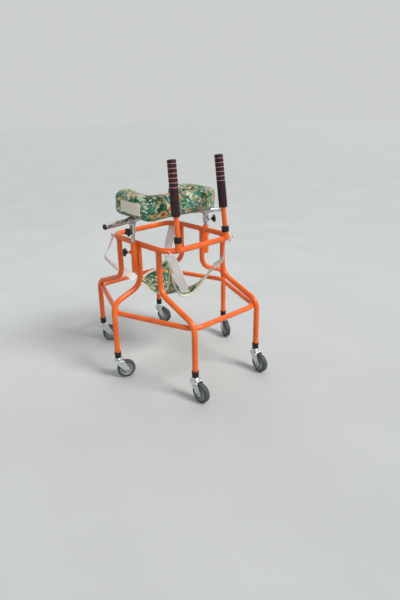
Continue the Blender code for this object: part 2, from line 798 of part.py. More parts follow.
def knob_tools(name, frame, sleeve_radius):
    """Boss and screw hole for a knob that locks a post inside a sleeve."""
    boss = cylinder_mesh(name + "_boss", KNOB_BOSS_RADIUS, POST_RADIUS, boss_end(sleeve_radius))
    hole_radius = KNOB_SCREW_RADIUS + RUN_GAP
    hole = cylinder_mesh(name + "_hole", hole_radius, 0.0, boss_end(sleeve_radius) + GAP, SMALL_SIDES)
    return add_tool(name + "_boss", boss, frame), add_tool(name + "_hole", hole, frame)


def star_mesh(name, bottom, top):
    """Lobed head of a knob between two heights on its axis."""
    outline = bpy.data.curves.new(name, "CURVE")
    outline.dimensions = "2D"
    outline.fill_mode = "BOTH"
    outline.extrude = (top - bottom) / 2.0 - KNOB_EDGE
    outline.bevel_depth = KNOB_EDGE
    outline.bevel_resolution = 0
    line = outline.splines.new("POLY")
    count = KNOB_LOBES * KNOB_POINTS_PER_LOBE
    line.points.add(count - 1)
    for index, node in enumerate(line.points):
        angle = 2.0 * math.pi * index / count
        radius = KNOB_RADIUS - KNOB_EDGE + KNOB_LOBE_DEPTH * math.cos(KNOB_LOBES * angle)
        node.co = (radius * math.cos(angle), radius * math.sin(angle), 0.0, 1.0)
    line.use_cyclic_u = True
    guide = bpy.data.objects.new(name, outline)
    TOOLS.objects.link(guide)
    graph = bpy.context.evaluated_depsgraph_get()
    mesh = bpy.data.meshes.new_from_object(guide.evaluated_get(graph))
    bpy.data.objects.remove(guide, do_unlink=True)
    bpy.data.curves.remove(outline)
    shape = bmesh.new()
    shape.from_mesh(mesh)
    bmesh.ops.remove_doubles(shape, verts=shape.verts, dist=0.00001)
    bmesh.ops.translate(shape, verts=shape.verts, vec=(0.0, 0.0, (bottom + top) / 2.0))
    bmesh.ops.recalc_face_normals(shape, faces=shape.faces)
    shape.to_mesh(mesh)
    shape.free()
    mesh.materials.clear()
    smooth(mesh)
    return mesh


def build_knob(name, frame, sleeve_radius):
    """Star knob with its neck and screw, on the screw's axis frame."""
    tip = POST_RADIUS + GAP
    neck = boss_end(sleeve_radius) + KNOB_SCREW_SHOWN
    head = neck + KNOB_NECK_LENGTH
    profile = [
        (0.0, head + KNOB_THICKNESS / 2.0),
        (KNOB_NECK_RADIUS, head + KNOB_THICKNESS / 2.0),
        (KNOB_NECK_RADIUS, neck),
        (KNOB_SCREW_RADIUS, neck),
        (KNOB_SCREW_RADIUS, tip),
        (0.0, tip),
    ]
    knob = add_part(name, turned_mesh(name, profile, TUBE_SIDES), "black_plastic", frame)
    star = star_mesh(name + "_star", head, head + KNOB_THICKNESS)
    boolean(knob, "UNION", add_tool(name + "_star", star, frame))


# Posts, clamps and bars


def post_x(side):
    """Post axis: its socket touches the outer side of the side bar."""
    return side * (RING_HALF_WIDTH + FRAME_RADIUS + GAP + POST_RADIUS + SOCKET_WALL)


def socket_bottom():
    """The sockets end above the outward bend of the middle legs."""
    return STEP_START_HEIGHT + SOCKET_ABOVE_STEP


def post_bottom():
    return socket_bottom() + POST_END_INSIDE_SOCKET


def socket_top():
    return RING_HEIGHT + SOCKET_ABOVE_RING


def pad_bottom():
    return RING_HEIGHT + PAD_ABOVE_RING


def ring_level(offsets):
    """Points in world coordinates, from offsets that are measured from the ring's level."""
    return [Vector(offset) + Vector((0.0, 0.0, RING_HEIGHT)) for offset in offsets]


def support_matrix():
    """Axis frame of the trunk support: its origin is under the pad, in its middle."""
    turn = Matrix.Rotation(SUPPORT_TILT, 4, "Y")
    return Matrix.Translation((0.0, 0.0, pad_bottom())) @ turn


def bar_centre(side):
    """Where a bar crosses its post's axis, in world coordinates."""
    below = -(BAR_RADIUS + GAP) / math.cos(SUPPORT_TILT)
    rise = -math.tan(SUPPORT_TILT) * post_x(side)
    return Vector((post_x(side), POST_PLACE_Y, pad_bottom() + rise + below))


def bar_matrix(side):
    """Axis frame of a bar: Z points outwards along it, in the pad's tilted plane."""
    outwards = Vector((side * math.cos(BAR_YAW), -math.sin(BAR_YAW), 0.0))
    outwards.rotate(Matrix.Rotation(SUPPORT_TILT, 3, "Y"))
    return axis_frame(bar_centre(side), outwards)


def build_post_socket(side, side_name):
    """Socket tube welded to the side bar, with the boss for its star knob."""
    label = "post_socket_" + side_name
    outer = POST_RADIUS + SOCKET_WALL
    place = Matrix.Translation((post_x(side), POST_PLACE_Y, 0.0))
    base = add_empty(label + "_axis", place)
    bottom = socket_bottom()
    top = socket_top()
    body = cylinder_mesh(label, outer, bottom, top, PLAIN_SIDES)
    socket = add_part(label, body, "orange_paint", base)
    direction = knob_direction(side, SOCKET_KNOB_ANGLE)
    knob_place = axis_frame((0.0, 0.0, RING_HEIGHT - SOCKET_KNOB_BELOW_RING), direction)
    frame = add_empty("socket_knob_" + side_name + "_axis", knob_place, base)
    boss, hole = knob_tools("socket_knob_" + side_name, frame, outer)
    boolean(socket, "UNION", boss)
    bore_radius = POST_RADIUS + RUN_GAP
    bore = cylinder_mesh(label + "_bore", bore_radius, bottom - GAP, top + GAP, PLAIN_SIDES)
    boolean(socket, "DIFFERENCE", add_tool(label + "_bore", bore, base))
    boolean(socket, "DIFFERENCE", hole)
    build_knob("socket_knob_" + side_name, frame, outer)


def build_bar(side, side_name):
    """Post, clamp, knob and plugged cross bar of one side."""
    base = add_empty("post_" + side_name + "_axis", Matrix.Translation((post_x(side), POST_PLACE_Y, 0.0)))
    centre = bar_centre(side)
    post_top = centre.z - BAR_RADIUS - POST_BELOW_BAR
    post = cylinder_mesh("post", POST_RADIUS, post_bottom(), post_top, PLAIN_SIDES)
    add_part("post_" + side_name, post, "chrome", base)

    bar_frame = add_empty("bar_" + side_name + "_axis", bar_matrix(side))
    reach = RIGHT_BAR_OUTER_REACH if side == RIGHT else LEFT_BAR_OUTER_REACH
    inner = BAR_RADIUS - BAR_WALL
    plug_top = reach + BAR_PLUG_HEAD
    bar_profile = [
        (0.0, plug_top),
        (inner, plug_top),
        (BAR_RADIUS, plug_top - BAR_WALL),
        (BAR_RADIUS, -BAR_INNER_REACH),
        (inner, -BAR_INNER_REACH),
        (inner, reach - BAR_PLUG_DEPTH),
        (0.0, reach - BAR_PLUG_DEPTH),
    ]
    bar = turned_mesh("cross_bar", bar_profile, PLAIN_SIDES)
    add_part("cross_bar_" + side_name, bar, "chrome", bar_frame)

    label = "clamp_" + side_name
    sleeve_radius = POST_RADIUS + CLAMP_WALL
    body = cylinder_mesh(label, sleeve_radius, centre.z - CLAMP_SLEEVE_BELOW_BAR, centre.z, PLAIN_SIDES)
    clamp = add_part(label, body, "chrome", base)
    half = CLAMP_CROSS_LENGTH / 2.0
    cross = cylinder_mesh(label + "_cross", BAR_RADIUS + CLAMP_WALL, -half, half, PLAIN_SIDES)
    boolean(clamp, "UNION", add_tool(label + "_cross", cross, bar_frame))
    direction = knob_direction(side, CLAMP_KNOB_ANGLE)
    knob_place = axis_frame((0.0, 0.0, centre.z - CLAMP_KNOB_BELOW_BAR), direction)
    frame = add_empty("clamp_knob_" + side_name + "_axis", knob_place, base)
    boss, hole = knob_tools("clamp_knob_" + side_name, frame, sleeve_radius)
    boolean(clamp, "UNION", boss)
    bore_top = post_top + GAP
    post_bore = cylinder_mesh(label + "_post_bore", POST_RADIUS + GAP, post_bottom(), bore_top, PLAIN_SIDES)
    boolean(clamp, "DIFFERENCE", add_tool(label + "_post_bore", post_bore, base))
    bar_bore = cylinder_mesh(label + "_bar_bore", BAR_RADIUS + GAP, -2.0 * half, 2.0 * half, PLAIN_SIDES)
    boolean(clamp, "DIFFERENCE", add_tool(label + "_bar_bore", bar_bore, bar_frame))
    saddle = cylinder_mesh(label + "_saddle", SADDLE_CUT_RADIUS, -SADDLE_DROP, SADDLE_CUT_RADIUS)
    above = add_tool(label + "_saddle", saddle)
    above.matrix_basis = support_matrix() @ Matrix.Translation((post_x(side), POST_PLACE_Y, 0.0))
    boolean(clamp, "DIFFERENCE", above)
    boolean(clamp, "DIFFERENCE", hole)
    build_knob("clamp_knob_" + side_name, frame, sleeve_radius)


# Trunk pad


def pad_line(angle, offset=0.0):
    """Place and outward direction on the pad's plan curve, at an angle from the front."""
    power = 2.0 / PAD_SQUARENESS

    def spot(turn):
        across = math.copysign(abs(math.sin(turn)) ** power, math.sin(turn))
        along = math.copysign(abs(math.cos(turn)) ** power, math.cos(turn))
        x = (PAD_HALF_WIDTH - PAD_THICKNESS / 2.0) * across
        y = PAD_CENTRE_Y - (PAD_HALF_LENGTH - PAD_THICKNESS / 2.0) * along
        return Vector((x, y + PAD_SKEW * x))

    ahead = spot(angle + PAD_TANGENT_STEP)
    tangent = (ahead - spot(angle - PAD_TANGENT_STEP)).normalized()
    outward = Vector((tangent.y, -tangent.x))
    return spot(angle) + outward * offset, outward


def pad_angles():
    """Angles of the pad's sections, evenly spaced along its curve."""
    fine = PAD_SEARCH_COUNT
    angles = [PAD_HALF_SWEEP * (2.0 * i / fine - 1.0) for i in range(fine + 1)]
    lengths = [0.0]
    for before, after in zip(angles, angles[1:]):
        lengths.append(lengths[-1] + (pad_line(after)[0] - pad_line(before)[0]).length)
    chosen = []
    for station in range(PAD_STATIONS):
        target = lengths[-1] * station / (PAD_STATIONS - 1)
        index = min(range(fine + 1), key=lambda i: abs(lengths[i] - target))
        chosen.append(angles[index])
    return chosen


def build_pad(frame):
    """Stuffed C-shaped pad: crowned faces, rounded edges and drawn-in ends."""
    half_thick = PAD_THICKNESS / 2.0
    half_high = PAD_HEIGHT / 2.0
    crown = 1.0 + PAD_CROWN / half_thick
    quarter = [(PAD_TOP_SHARE, 1.0), (1.0, PAD_FLAT_SHARE), (crown, 0.0), (1.0, -PAD_FLAT_SHARE)]
    outer_half = quarter + [(PAD_TOP_SHARE, -1.0), (0.0, -1.0)]
    section = outer_half + [(-across, -up) for across, up in outer_half]
    shape = bmesh.new()
    rings = []
    angles = pad_angles()
    for index, angle in enumerate(angles):
        place, outward = pad_line(angle)
        from_end = min(index, len(angles) - 1 - index)
        pinch = PAD_PINCH if from_end == 0 else 1.0
        ring = []
        for across, up in section:
            point = place + outward * (half_thick * across * pinch)
            height = half_high + half_high * up * pinch
            ring.append(shape.verts.new((point.x, point.y, height)))
        rings.append(ring)
    count = len(section)
    for before, after in zip(rings, rings[1:]):
        for i in range(count):
            j = (i + 1) % count
            shape.faces.new((before[i], before[j], after[j], after[i]))
    shape.faces.new(rings[0])
    shape.faces.new(list(reversed(rings[-1])))
    bmesh.ops.recalc_face_normals(shape, faces=shape.faces)
    mesh = bpy.data.meshes.new("trunk_pad")
    shape.to_mesh(mesh)
    shape.free()
    smooth(mesh, 60.0)
    pad = add_part("trunk_pad", mesh, "printed_cloth", frame)
    soft = pad.modifiers.new("soft", "SUBSURF")
    soft.levels = 1
    soft.render_levels = 1
    return pad


def build_patch(frame, pad):
    """Pale hook-and-loop patch, seated on the outer face of the pad's right arm."""
    offset = PAD_THICKNESS / 2.0 + PATCH_THICKNESS
    tries = range(-PATCH_SEARCH_COUNT, PATCH_SEARCH_COUNT)
    fine = [-math.pi / 2.0 + PATCH_SEARCH_STEP * i for i in tries]
    outside = [angle for angle in fine if pad_line(angle)[0].x < 0.0]
    columns = []
    for step in range(PATCH_STEPS + 1):
        wanted = PATCH_START + (PATCH_END - PATCH_START) * step / PATCH_STEPS
        angle = min(outside, key=lambda a: abs(pad_line(a, offset)[0].y - wanted))
        columns.append(pad_line(angle, offset)[0])
    rows = []
    for step in range(PATCH_STEPS + 1):
        height = PATCH_ABOVE_PAD_BOTTOM + PATCH_HEIGHT * step / PATCH_STEPS
        rows.append([(place.x, place.y, height) for place in columns])
    patch = add_part("pad_patch", sheet_mesh("pad_patch", rows), "pale_cloth", frame)
    seat = patch.modifiers.new("seat", "SHRINKWRAP")
    seat.target = pad
    seat.wrap_method = "NEAREST_SURFACEPOINT"
    seat.wrap_mode = "ABOVE_SURFACE"
    seat.offset = PATCH_THICKNESS / 2.0 + PATCH_CLEARANCE
    thicken(patch, PATCH_THICKNESS)


# Sling seat and webbing


def sling_point(across, along):
    """Point of the sling: across runs -1 right to 1 left, along -1 front to 1 rear."""
    left, right = (1.0 + across) / 2.0, (1.0 - across) / 2.0
    rear, front = (1.0 + along) / 2.0, (1.0 - along) / 2.0
    point = (
        SLING_REAR_RIGHT * rear * right
        + SLING_REAR_LEFT * rear * left
        + SLING_FRONT_RIGHT * front * right
        + SLING_FRONT_LEFT * front * left
    )
    middle_across = 1.0 - across * across
    middle_along = 1.0 - along * along
    point.x *= 1.0 - SLING_WAIST * middle_along
    point.y += SLING_FRONT_NOTCH * middle_across * front - SLING_REAR_NOTCH * middle_across * rear
    point.z -= SLING_SAG * middle_across * middle_along
    point.z -= SLING_SIDE_SAG * across * across * middle_along
    point.z -= SLING_FRONT_SAG * middle_across * along * along * front
    point.z -= SLING_REAR_SAG * middle_across * along * along * rear
    point.z += RING_HEIGHT
    return point


def build_sling():
    """Cloth seat with its four webbing straps sewn on, one sub-part."""
    rows = []
    for row in range(SLING_STEPS + 1):
        along = 2.0 * row / SLING_STEPS - 1.0
        rows.append([sling_point(2.0 * i / SLING_STEPS - 1.0, along) for i in range(SLING_STEPS + 1)])
    sling = add_part("seat_sling", sheet_mesh("seat_sling", rows), "printed_cloth")
    thicken(sling, SLING_THICKNESS)
    for name, (points, facings) in strap_routes().items():
        label = "strap_" + name
        strap = add_tool(label, sheet_mesh(label, strap_rows(points, facings, WEB_WIDTH)))
        thicken(strap, WEB_THICKNESS)
        boolean(sling, "UNION", strap)


def corner_peg_places():
    """Middle of each ring corner and the level direction out of it."""
    reach = RING_CORNER * (1.0 - math.sqrt(0.5))
    places = {}
    for side, side_name in ((RIGHT, "right"), (LEFT, "left")):
        for end, end_name in ((-1.0, "front"), (1.0, "rear")):
            x = side * (RING_HALF_WIDTH - reach)
            y = end * (RING_HALF_LENGTH - reach)
            direction = Vector((side, end, 0.0)).normalized()
            places[end_name + "_" + side_name] = (Vector((x, y, RING_HEIGHT)), direction)
    return places


def peg_mesh():
    """Headed peg along Z, from the middle of the ring's tube."""
    end = FRAME_RADIUS + PEG_LENGTH
    profile = [
        (0.0, end),
        (PEG_HEAD_RADIUS, end),
        (PEG_HEAD_RADIUS, end - PEG_HEAD_HEIGHT),
        (PEG_RADIUS, end - PEG_HEAD_HEIGHT),
        (PEG_RADIUS, 0.0),
        (0.0, 0.0),
    ]
    return turned_mesh("peg", profile, SMALL_SIDES)


def smooth_line(points, steps):
    """Catmull-Rom curve through points, given as lists of equal length."""
    ends = [points[0]] + list(points) + [points[-1]]
    line = []
    spans = len(points) - 1
    for step in range(steps + 1):
        place = spans * step / steps
        index = min(int(place), spans - 1)
        t = place - index
        a, b, c, d = (Vector(ends[index + i]) for i in range(4))
        cubic = (3.0 * b - 3.0 * c + d - a) * t**3
        square = (2.0 * a - 5.0 * b + 4.0 * c - d) * t**2
        line.append((cubic + square + (c - a) * t) / 2.0 + b)
    return line


def strap_rows(points, facings, width):
    """Grid of a strap: its middle line, with the cloth turned to each facing."""
    line = smooth_line(points, WEB_STEPS)
    turned = smooth_line(facings, WEB_STEPS)
    rows = []
    for index, place in enumerate(line):
        ahead = line[min(index + 1, WEB_STEPS)] - line[max(index - 1, 0)]
        across = ahead.cross(turned[index]).normalized() * width / 2.0
        rows.append([place - across, place + across])
    return rows


def strap_start(place, direction):
    """First points and facings of a strap: under its peg, then round under the ring."""
    down = Vector((0.0, 0.0, -1.0))
    out = FRAME_RADIUS + (PEG_LENGTH - PEG_HEAD_HEIGHT) / 2.0
    offsets = [direction * out + down * (PEG_RADIUS + WEB_THICKNESS / 2.0 + 2.0 * GAP)]
    for angle in STRAP_START_ANGLES:
        turned = direction * math.cos(angle) + down * math.sin(angle)
        offsets.append(turned * (FRAME_RADIUS + STRAP_CLEARANCE))
    return [place + offset for offset in offsets], [direction] * len(offsets)


def strap_routes():
    """Route and facing of each strap from its peg to its corner of the sling."""
    starts = {}
    faces = {}
    for name, (place, direction) in corner_peg_places().items():
        starts[name], faces[name] = strap_start(place, direction)
    outward_face = (-0.60, -0.78, 0.20)
    slack_face = (-0.77, 0.63, 0.0)
    rear_face = (0.60, 0.78, -0.20)
    routes = {
        "front_right": (
            starts["front_right"] + ring_level(FRONT_RIGHT_STRAP) + [sling_point(*FRONT_RIGHT_SEAM)],
            faces["front_right"] + [outward_face] * 4,
        ),
        "front_left": (
            starts["front_left"] + ring_level(FRONT_LEFT_STRAP) + [sling_point(1.0, -1.0)],
            faces["front_left"] + [(0.8, -0.6, -0.1), (0.5, 0.1, -0.9)],
        ),
        "rear_right": (
            starts["rear_right"][:1] + ring_level(REAR_RIGHT_STRAP) + [sling_point(-1.0, 1.0)],
            faces["rear_right"][:1]
            + [slack_face] * 3
            + [(-0.5, 0.2, 0.8), (-0.4, -0.3, 0.9), (-0.3, -0.3, 0.9)],
        ),
        "rear_left": (
            starts["rear_left"] + ring_level(REAR_LEFT_STRAP) + [sling_point(1.0, 1.0)],
            faces["rear_left"] + [rear_face] * 2,
        ),
    }
    return routes


# Whole walker

CASTER_HEADINGS = {
    "rear_right": -27.0,
    "middle_right": -20.0,
    "front_right": -88.0,
    "front_left": -97.0,
    "middle_left": -112.0,
    "rear_left": -75.0,
}


def build_frame():
    """Rings, legs, ferrules and stems. Returns the feet."""
    legs = leg_layout()
    cope = build_upper_ring()
    lower_ring = build_lower_ring(legs)
    feet = {}
    for name, top, outwards, step in legs:
        path = leg_path(top, outwards, step)
        build_leg(name, path, cope, lower_ring)
        feet[name] = path[-1]
        build_ferrule(name, path[-1])
        build_stem(name, path[-1])
    return feet


def build_walker():
    feet = build_frame()
    shapes = fork_mesh_parts()
    for name, foot in feet.items():
        build_caster(name, foot, CASTER_HEADINGS[name], shapes)
    for side, side_name in ((RIGHT, "right"), (LEFT, "left")):
        build_handle(side, side_name)
        build_post_socket(side, side_name)
        build_bar(side, side_name)
    support = add_empty("trunk_support_axis", support_matrix())
    build_patch(support, build_pad(support))
    build_sling()


clear_scene()
PARTS = make_collection("walker")
TOOLS = make_collection("cutters")
build_walker()
bpy.context.view_layer.update()
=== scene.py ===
"""Dressed model of a child's walker: painted tube frame on six casters, trunk pad and sling seat.

Metres, +Z up, floor at z = 0. The child stands inside and faces -Y, so the child's right side is -X.
Every piece is placed in its mesh, and its object stays at the origin.
"""

import logging
import math
from collections.abc import Callable, Sequence
from dataclasses import dataclass, field
from enum import Enum
from typing import Any, ClassVar

import bpy
import numpy as np
from mathutils import Matrix, Vector

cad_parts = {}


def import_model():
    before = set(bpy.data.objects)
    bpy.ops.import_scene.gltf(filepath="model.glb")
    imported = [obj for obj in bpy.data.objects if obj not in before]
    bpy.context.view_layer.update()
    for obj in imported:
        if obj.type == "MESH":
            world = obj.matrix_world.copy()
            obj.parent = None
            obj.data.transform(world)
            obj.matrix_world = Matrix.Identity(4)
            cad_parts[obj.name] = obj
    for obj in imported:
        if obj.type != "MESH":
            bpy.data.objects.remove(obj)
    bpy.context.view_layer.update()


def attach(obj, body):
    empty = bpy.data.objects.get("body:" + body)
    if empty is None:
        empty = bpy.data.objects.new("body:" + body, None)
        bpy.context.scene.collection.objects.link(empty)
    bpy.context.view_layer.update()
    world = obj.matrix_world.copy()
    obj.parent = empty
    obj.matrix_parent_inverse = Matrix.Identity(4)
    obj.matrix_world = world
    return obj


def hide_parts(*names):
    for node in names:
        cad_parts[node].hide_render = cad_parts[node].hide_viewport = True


Array = np.ndarray
Colour = tuple[float, float, float]
Point = tuple[float, float, float]
Settings = dict[str, Any]
LOG = logging.getLogger("walker")
FULL_TURN = 2.0 * math.pi
UP = np.array([0.0, 0.0, 1.0])
RING_HEIGHT = 0.540
RING_RADIUS = 0.011
POST_X = 0.1881
POST_Y = -0.005
POST_SOCKET_RADIUS = 0.0118


class Side(Enum):
    """The child's sides, with the sign of X."""

    RIGHT = -1.0
    LEFT = 1.0

    @property
    def label(self) -> str:
        """Word used in the names of pieces."""
        return self.name.lower()


# Surfaces on grids


def unit(vectors: Array) -> Array:
    """Vectors divided by their lengths."""
    return vectors / np.maximum(np.linalg.norm(vectors, axis=-1, keepdims=True), 1e-12)


def signed_power(values: Array, power: float) -> Array:
    """Power that keeps the sign: sign(v) |v|^p."""
    return np.sign(values) * np.abs(values) ** power


def carried(points: Array, matrix: Matrix) -> Array:
    """Points moved by a matrix: M p + t."""
    move = np.array(matrix)
    return points @ move[:3, :3].T + move[:3, 3]


def axis_frame(place: Sequence[float], direction: Sequence[float]) -> Matrix:
    """Matrix whose origin is at a place and whose Z lies along a direction."""
    turn = Vector((0.0, 0.0, 1.0)).rotation_difference(Vector(direction))
    return Matrix.Translation(Vector(place)) @ turn.to_matrix().to_4x4()


def rounded_line(corners: Any, radii: Sequence[float], steps: int, closed: bool = False) -> Array:
    """Line through corners that are rounded by arcs.

    With unit directions a and b from a corner to its neighbours, half angle h between them and
    radius r, the arc's centre is corner + unit(a + b) r / sin h. It touches both sides at r / tan h.

    Args:
        corners: Points in two or three dimensions.
        radii: One radius for each corner; 0 keeps it sharp.
        steps: Steps along each arc.
        closed: Whether the last corner joins the first.

    Returns:
        The points of the line.
    """
    corners = np.asarray(corners, float)
    count = len(corners)
    pieces = []
    for index, corner in enumerate(corners):
        radius = radii[index]
        if radius == 0.0 or (not closed and index in (0, count - 1)):
            pieces.append(corner[None])
            continue
        before = unit(corners[index - 1] - corner)
        after = unit(corners[(index + 1) % count] - corner)
        half = math.acos(float(np.clip(before @ after, -1.0, 1.0))) / 2.0
        centre = corner + unit(before + after) * radius / math.sin(half)
        start = corner + before * radius / math.tan(half) - centre
        end = corner + after * radius / math.tan(half) - centre
        turn = math.pi - 2.0 * half
        share = np.linspace(0.0, 1.0, steps + 1)[:, None]
        arc = np.sin((1.0 - share) * turn) * start + np.sin(share * turn) * end
        pieces.append(centre + arc / math.sin(turn))
    return np.concatenate(pieces)


def smooth_line(points: Any, steps: int) -> Array:
    """Catmull-Rom curve through points, at evenly spaced parameters.

    Between b and c, with neighbours a and d, it is b + ((c - a) t + (2a - 5b + 4c - d) t^2
    + (3b - 3c + d - a) t^3) / 2.

    Args:
        points: Points that the curve goes through.
        steps: Steps from the first point to the last.

    Returns:
        The curve's points, one more than its steps.
    """
    points = np.asarray(points, float)
    ends = np.concatenate([points[:1], points, points[-1:]])
    place = np.linspace(0.0, len(points) - 1.0, steps + 1)
    index = np.minimum(place.astype(int), len(points) - 2)
    t = (place - index)[:, None]
    a, b, c, d = (ends[index + shift] for shift in range(4))
    cubic = (3.0 * b - 3.0 * c + d - a) * t**3
    square = (2.0 * a - 5.0 * b + 4.0 * c - d) * t**2
    return (cubic + square + (c - a) * t) / 2.0 + b


def sweep(path: Array, section: Array, side: Any, closed: bool = False) -> Array:
    """Section carried along a path: p + a N + b B, N = unit(s - (s.T) T) and B = T x N.

    Args:
        path: Points of the path, n x 3.
        section: Outline points (a, b), counter-clockwise, k x 2 or n x k x 2.
        side: Vector s that fixes N, one or one for each point of the path.
        closed: Whether the path is a loop.

    Returns:
        Grid of n x k points.
    """
    if closed:
        ahead = unit(np.roll(path, -1, axis=0) - np.roll(path, 1, axis=0))
    else:
        ahead = unit(np.gradient(path, axis=0))
    side = np.broadcast_to(np.asarray(side, float), path.shape)
    across = unit(side - np.sum(side * ahead, axis=1, keepdims=True) * ahead)
    over = np.cross(ahead, across)
    section = np.broadcast_to(section, (len(path), *section.shape[-2:]))
    return path[:, None] + section[..., :1] * across[:, None] + section[..., 1:] * over[:, None]


def angles(count: int) -> Array:
    """Evenly spaced angles of a full turn."""
    return np.linspace(0.0, FULL_TURN, count, endpoint=False)


def circle(radius: float, sides: int) -> Array:
    """Round outline: (r cos a, r sin a)."""
    return radius * np.stack([np.cos(angles(sides)), np.sin(angles(sides))], axis=-1)


def hoop(half_x: float, half_y: float, height: float | Array, count: int) -> Array:
    """Level ellipse: (a cos t, b sin t, height)."""
    t = angles(count)
    return np.stack([half_x * np.cos(t), half_y * np.sin(t), height + 0.0 * t], axis=-1)


def revolve(profile: Array, sides: int) -> Array:
    """Turned shape: (r cos a, r sin a, z) for each profile point (r, z), going up its outer side."""
    a, radius, height = angles(sides), profile[:, :1], profile[:, 1:]
    return np.stack([radius * np.cos(a), radius * np.sin(a), height + 0.0 * a], axis=-1)


def raised(outline: Array, profile: Any) -> Array:
    """Outline carried up a profile of (scale, height): (s x, s y, h).

    Args:
        outline: Points (x, y).
        profile: Scale and height of each row.

    Returns:
        Grid with one row for each scale.
    """
    profile = np.asarray(profile, float)
    flat = profile[:, 0][:, None, None] * outline[None]
    height = np.broadcast_to(profile[:, 1][:, None, None], (*flat.shape[:2], 1))
    return np.concatenate([flat, height], axis=-1)


def sheet_normals(grid: Array) -> Array:
    """Unit normals of an open grid: (change along a row) x (change down a column)."""
    return unit(np.cross(np.gradient(grid, axis=1), np.gradient(grid, axis=0)))


def cloth_place(grid: Array) -> Array:
    """Flat coordinates of a sheet: arc length along its rows and down its columns.

    Args:
        grid: Points, rows x columns x 3.

    Returns:
        Coordinates (across, from the row's middle; down; 0), in metres.
    """
    down, across = (np.linalg.norm(np.diff(grid, axis=axis), axis=2) for axis in (0, 1))
    across = np.pad(np.cumsum(across, axis=1), ((0, 0), (1, 0)))
    across = across - across[:, -1:] / 2.0
    down = np.pad(np.cumsum(down, axis=0), ((1, 0), (0, 0))).mean(axis=1, keepdims=True)
    return np.stack([across, np.broadcast_to(down, across.shape), np.zeros_like(across)], axis=-1)


def smoothed(grid: Array) -> Array:
    """Grid whose inner points are moved half-way to the mean of their four neighbours.

    Args:
        grid: Points, rows x columns x 3.

    Returns:
        The smoother grid.
    """
    result = grid.copy()
    mean = (grid[:-2, 1:-1] + grid[2:, 1:-1] + grid[1:-1, :-2] + grid[1:-1, 2:]) / 4.0
    result[1:-1, 1:-1] = (grid[1:-1, 1:-1] + mean) / 2.0
    return result


def quads(bands: int, rows: int, columns: int) -> Array:
    """Faces between neighbouring rows of a grid whose columns run round it.

    Args:
        bands: How many bands of faces there are.
        rows: Rows of the grid; the band after the last row joins the first.
        columns: Points of a row.

    Returns:
        Four point numbers for each face.
    """
    row, column = np.meshgrid(np.arange(bands), np.arange(columns), indexing="ij")
    below, beside = (row + 1) % rows, (column + 1) % columns
    corners = [(row, column), (row, beside), (below, beside), (below, column)]
    return np.stack([i * columns + j for i, j in corners], axis=-1).reshape(-1, 4)


# Meshes and objects


def new_object(name: str, data: Any) -> bpy.types.Object:
    """Object that shows some data in the scene, at the origin.

    Args:
        name: Name of the object.
        data: Mesh, lamp or camera.

    Returns:
        The object.
    """
    item = bpy.data.objects.new(name, data)
    bpy.context.scene.collection.objects.link(item)
    return item


def read_points(mesh: bpy.types.Mesh, what: str = "co") -> Array:
    """Places or normals of a mesh's points.

    Args:
        mesh: The mesh.
        what: Either co or normal.

    Returns:
        Numbers, n x 3.
    """
    flat = np.empty(len(mesh.vertices) * 3, np.float32)
    mesh.vertices.foreach_get(what, flat)
    return flat.reshape(-1, 3)


def set_places(mesh: bpy.types.Mesh, places: Array) -> None:
    """Store the coordinates that a cloth's pattern follows."""
    attribute = mesh.attributes.new("place", "FLOAT_VECTOR", "POINT")
    attribute.data.foreach_set("vector", places.astype(np.float32).ravel())


def apply_modifiers(item: bpy.types.Object, name: str) -> bpy.types.Mesh:
    """Give an object the mesh that its modifiers make.

    Args:
        item: The object.
        name: Name of the new mesh.

    Returns:
        The new mesh.
    """
    graph = bpy.context.evaluated_depsgraph_get()
    mesh = bpy.data.meshes.new_from_object(item.evaluated_get(graph))
    mesh.name = name
    item.modifiers.clear()
    item.data = mesh
    return mesh


def settle(
    item: bpy.types.Object, body: str, nodes: Sequence[str] = ()
) -> bpy.types.Object:
    """Make a piece move with its body and stand for its solids.

    Args:
        item: The piece.
        body: Name of the body that it moves with.
        nodes: Solids that it replaces.

    Returns:
        The piece.
    """
    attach(item, body)
    if nodes:
        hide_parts(*nodes)
    LOG.info("%s: %d faces, on %s", item.name, len(item.data.polygons), body)
    return item


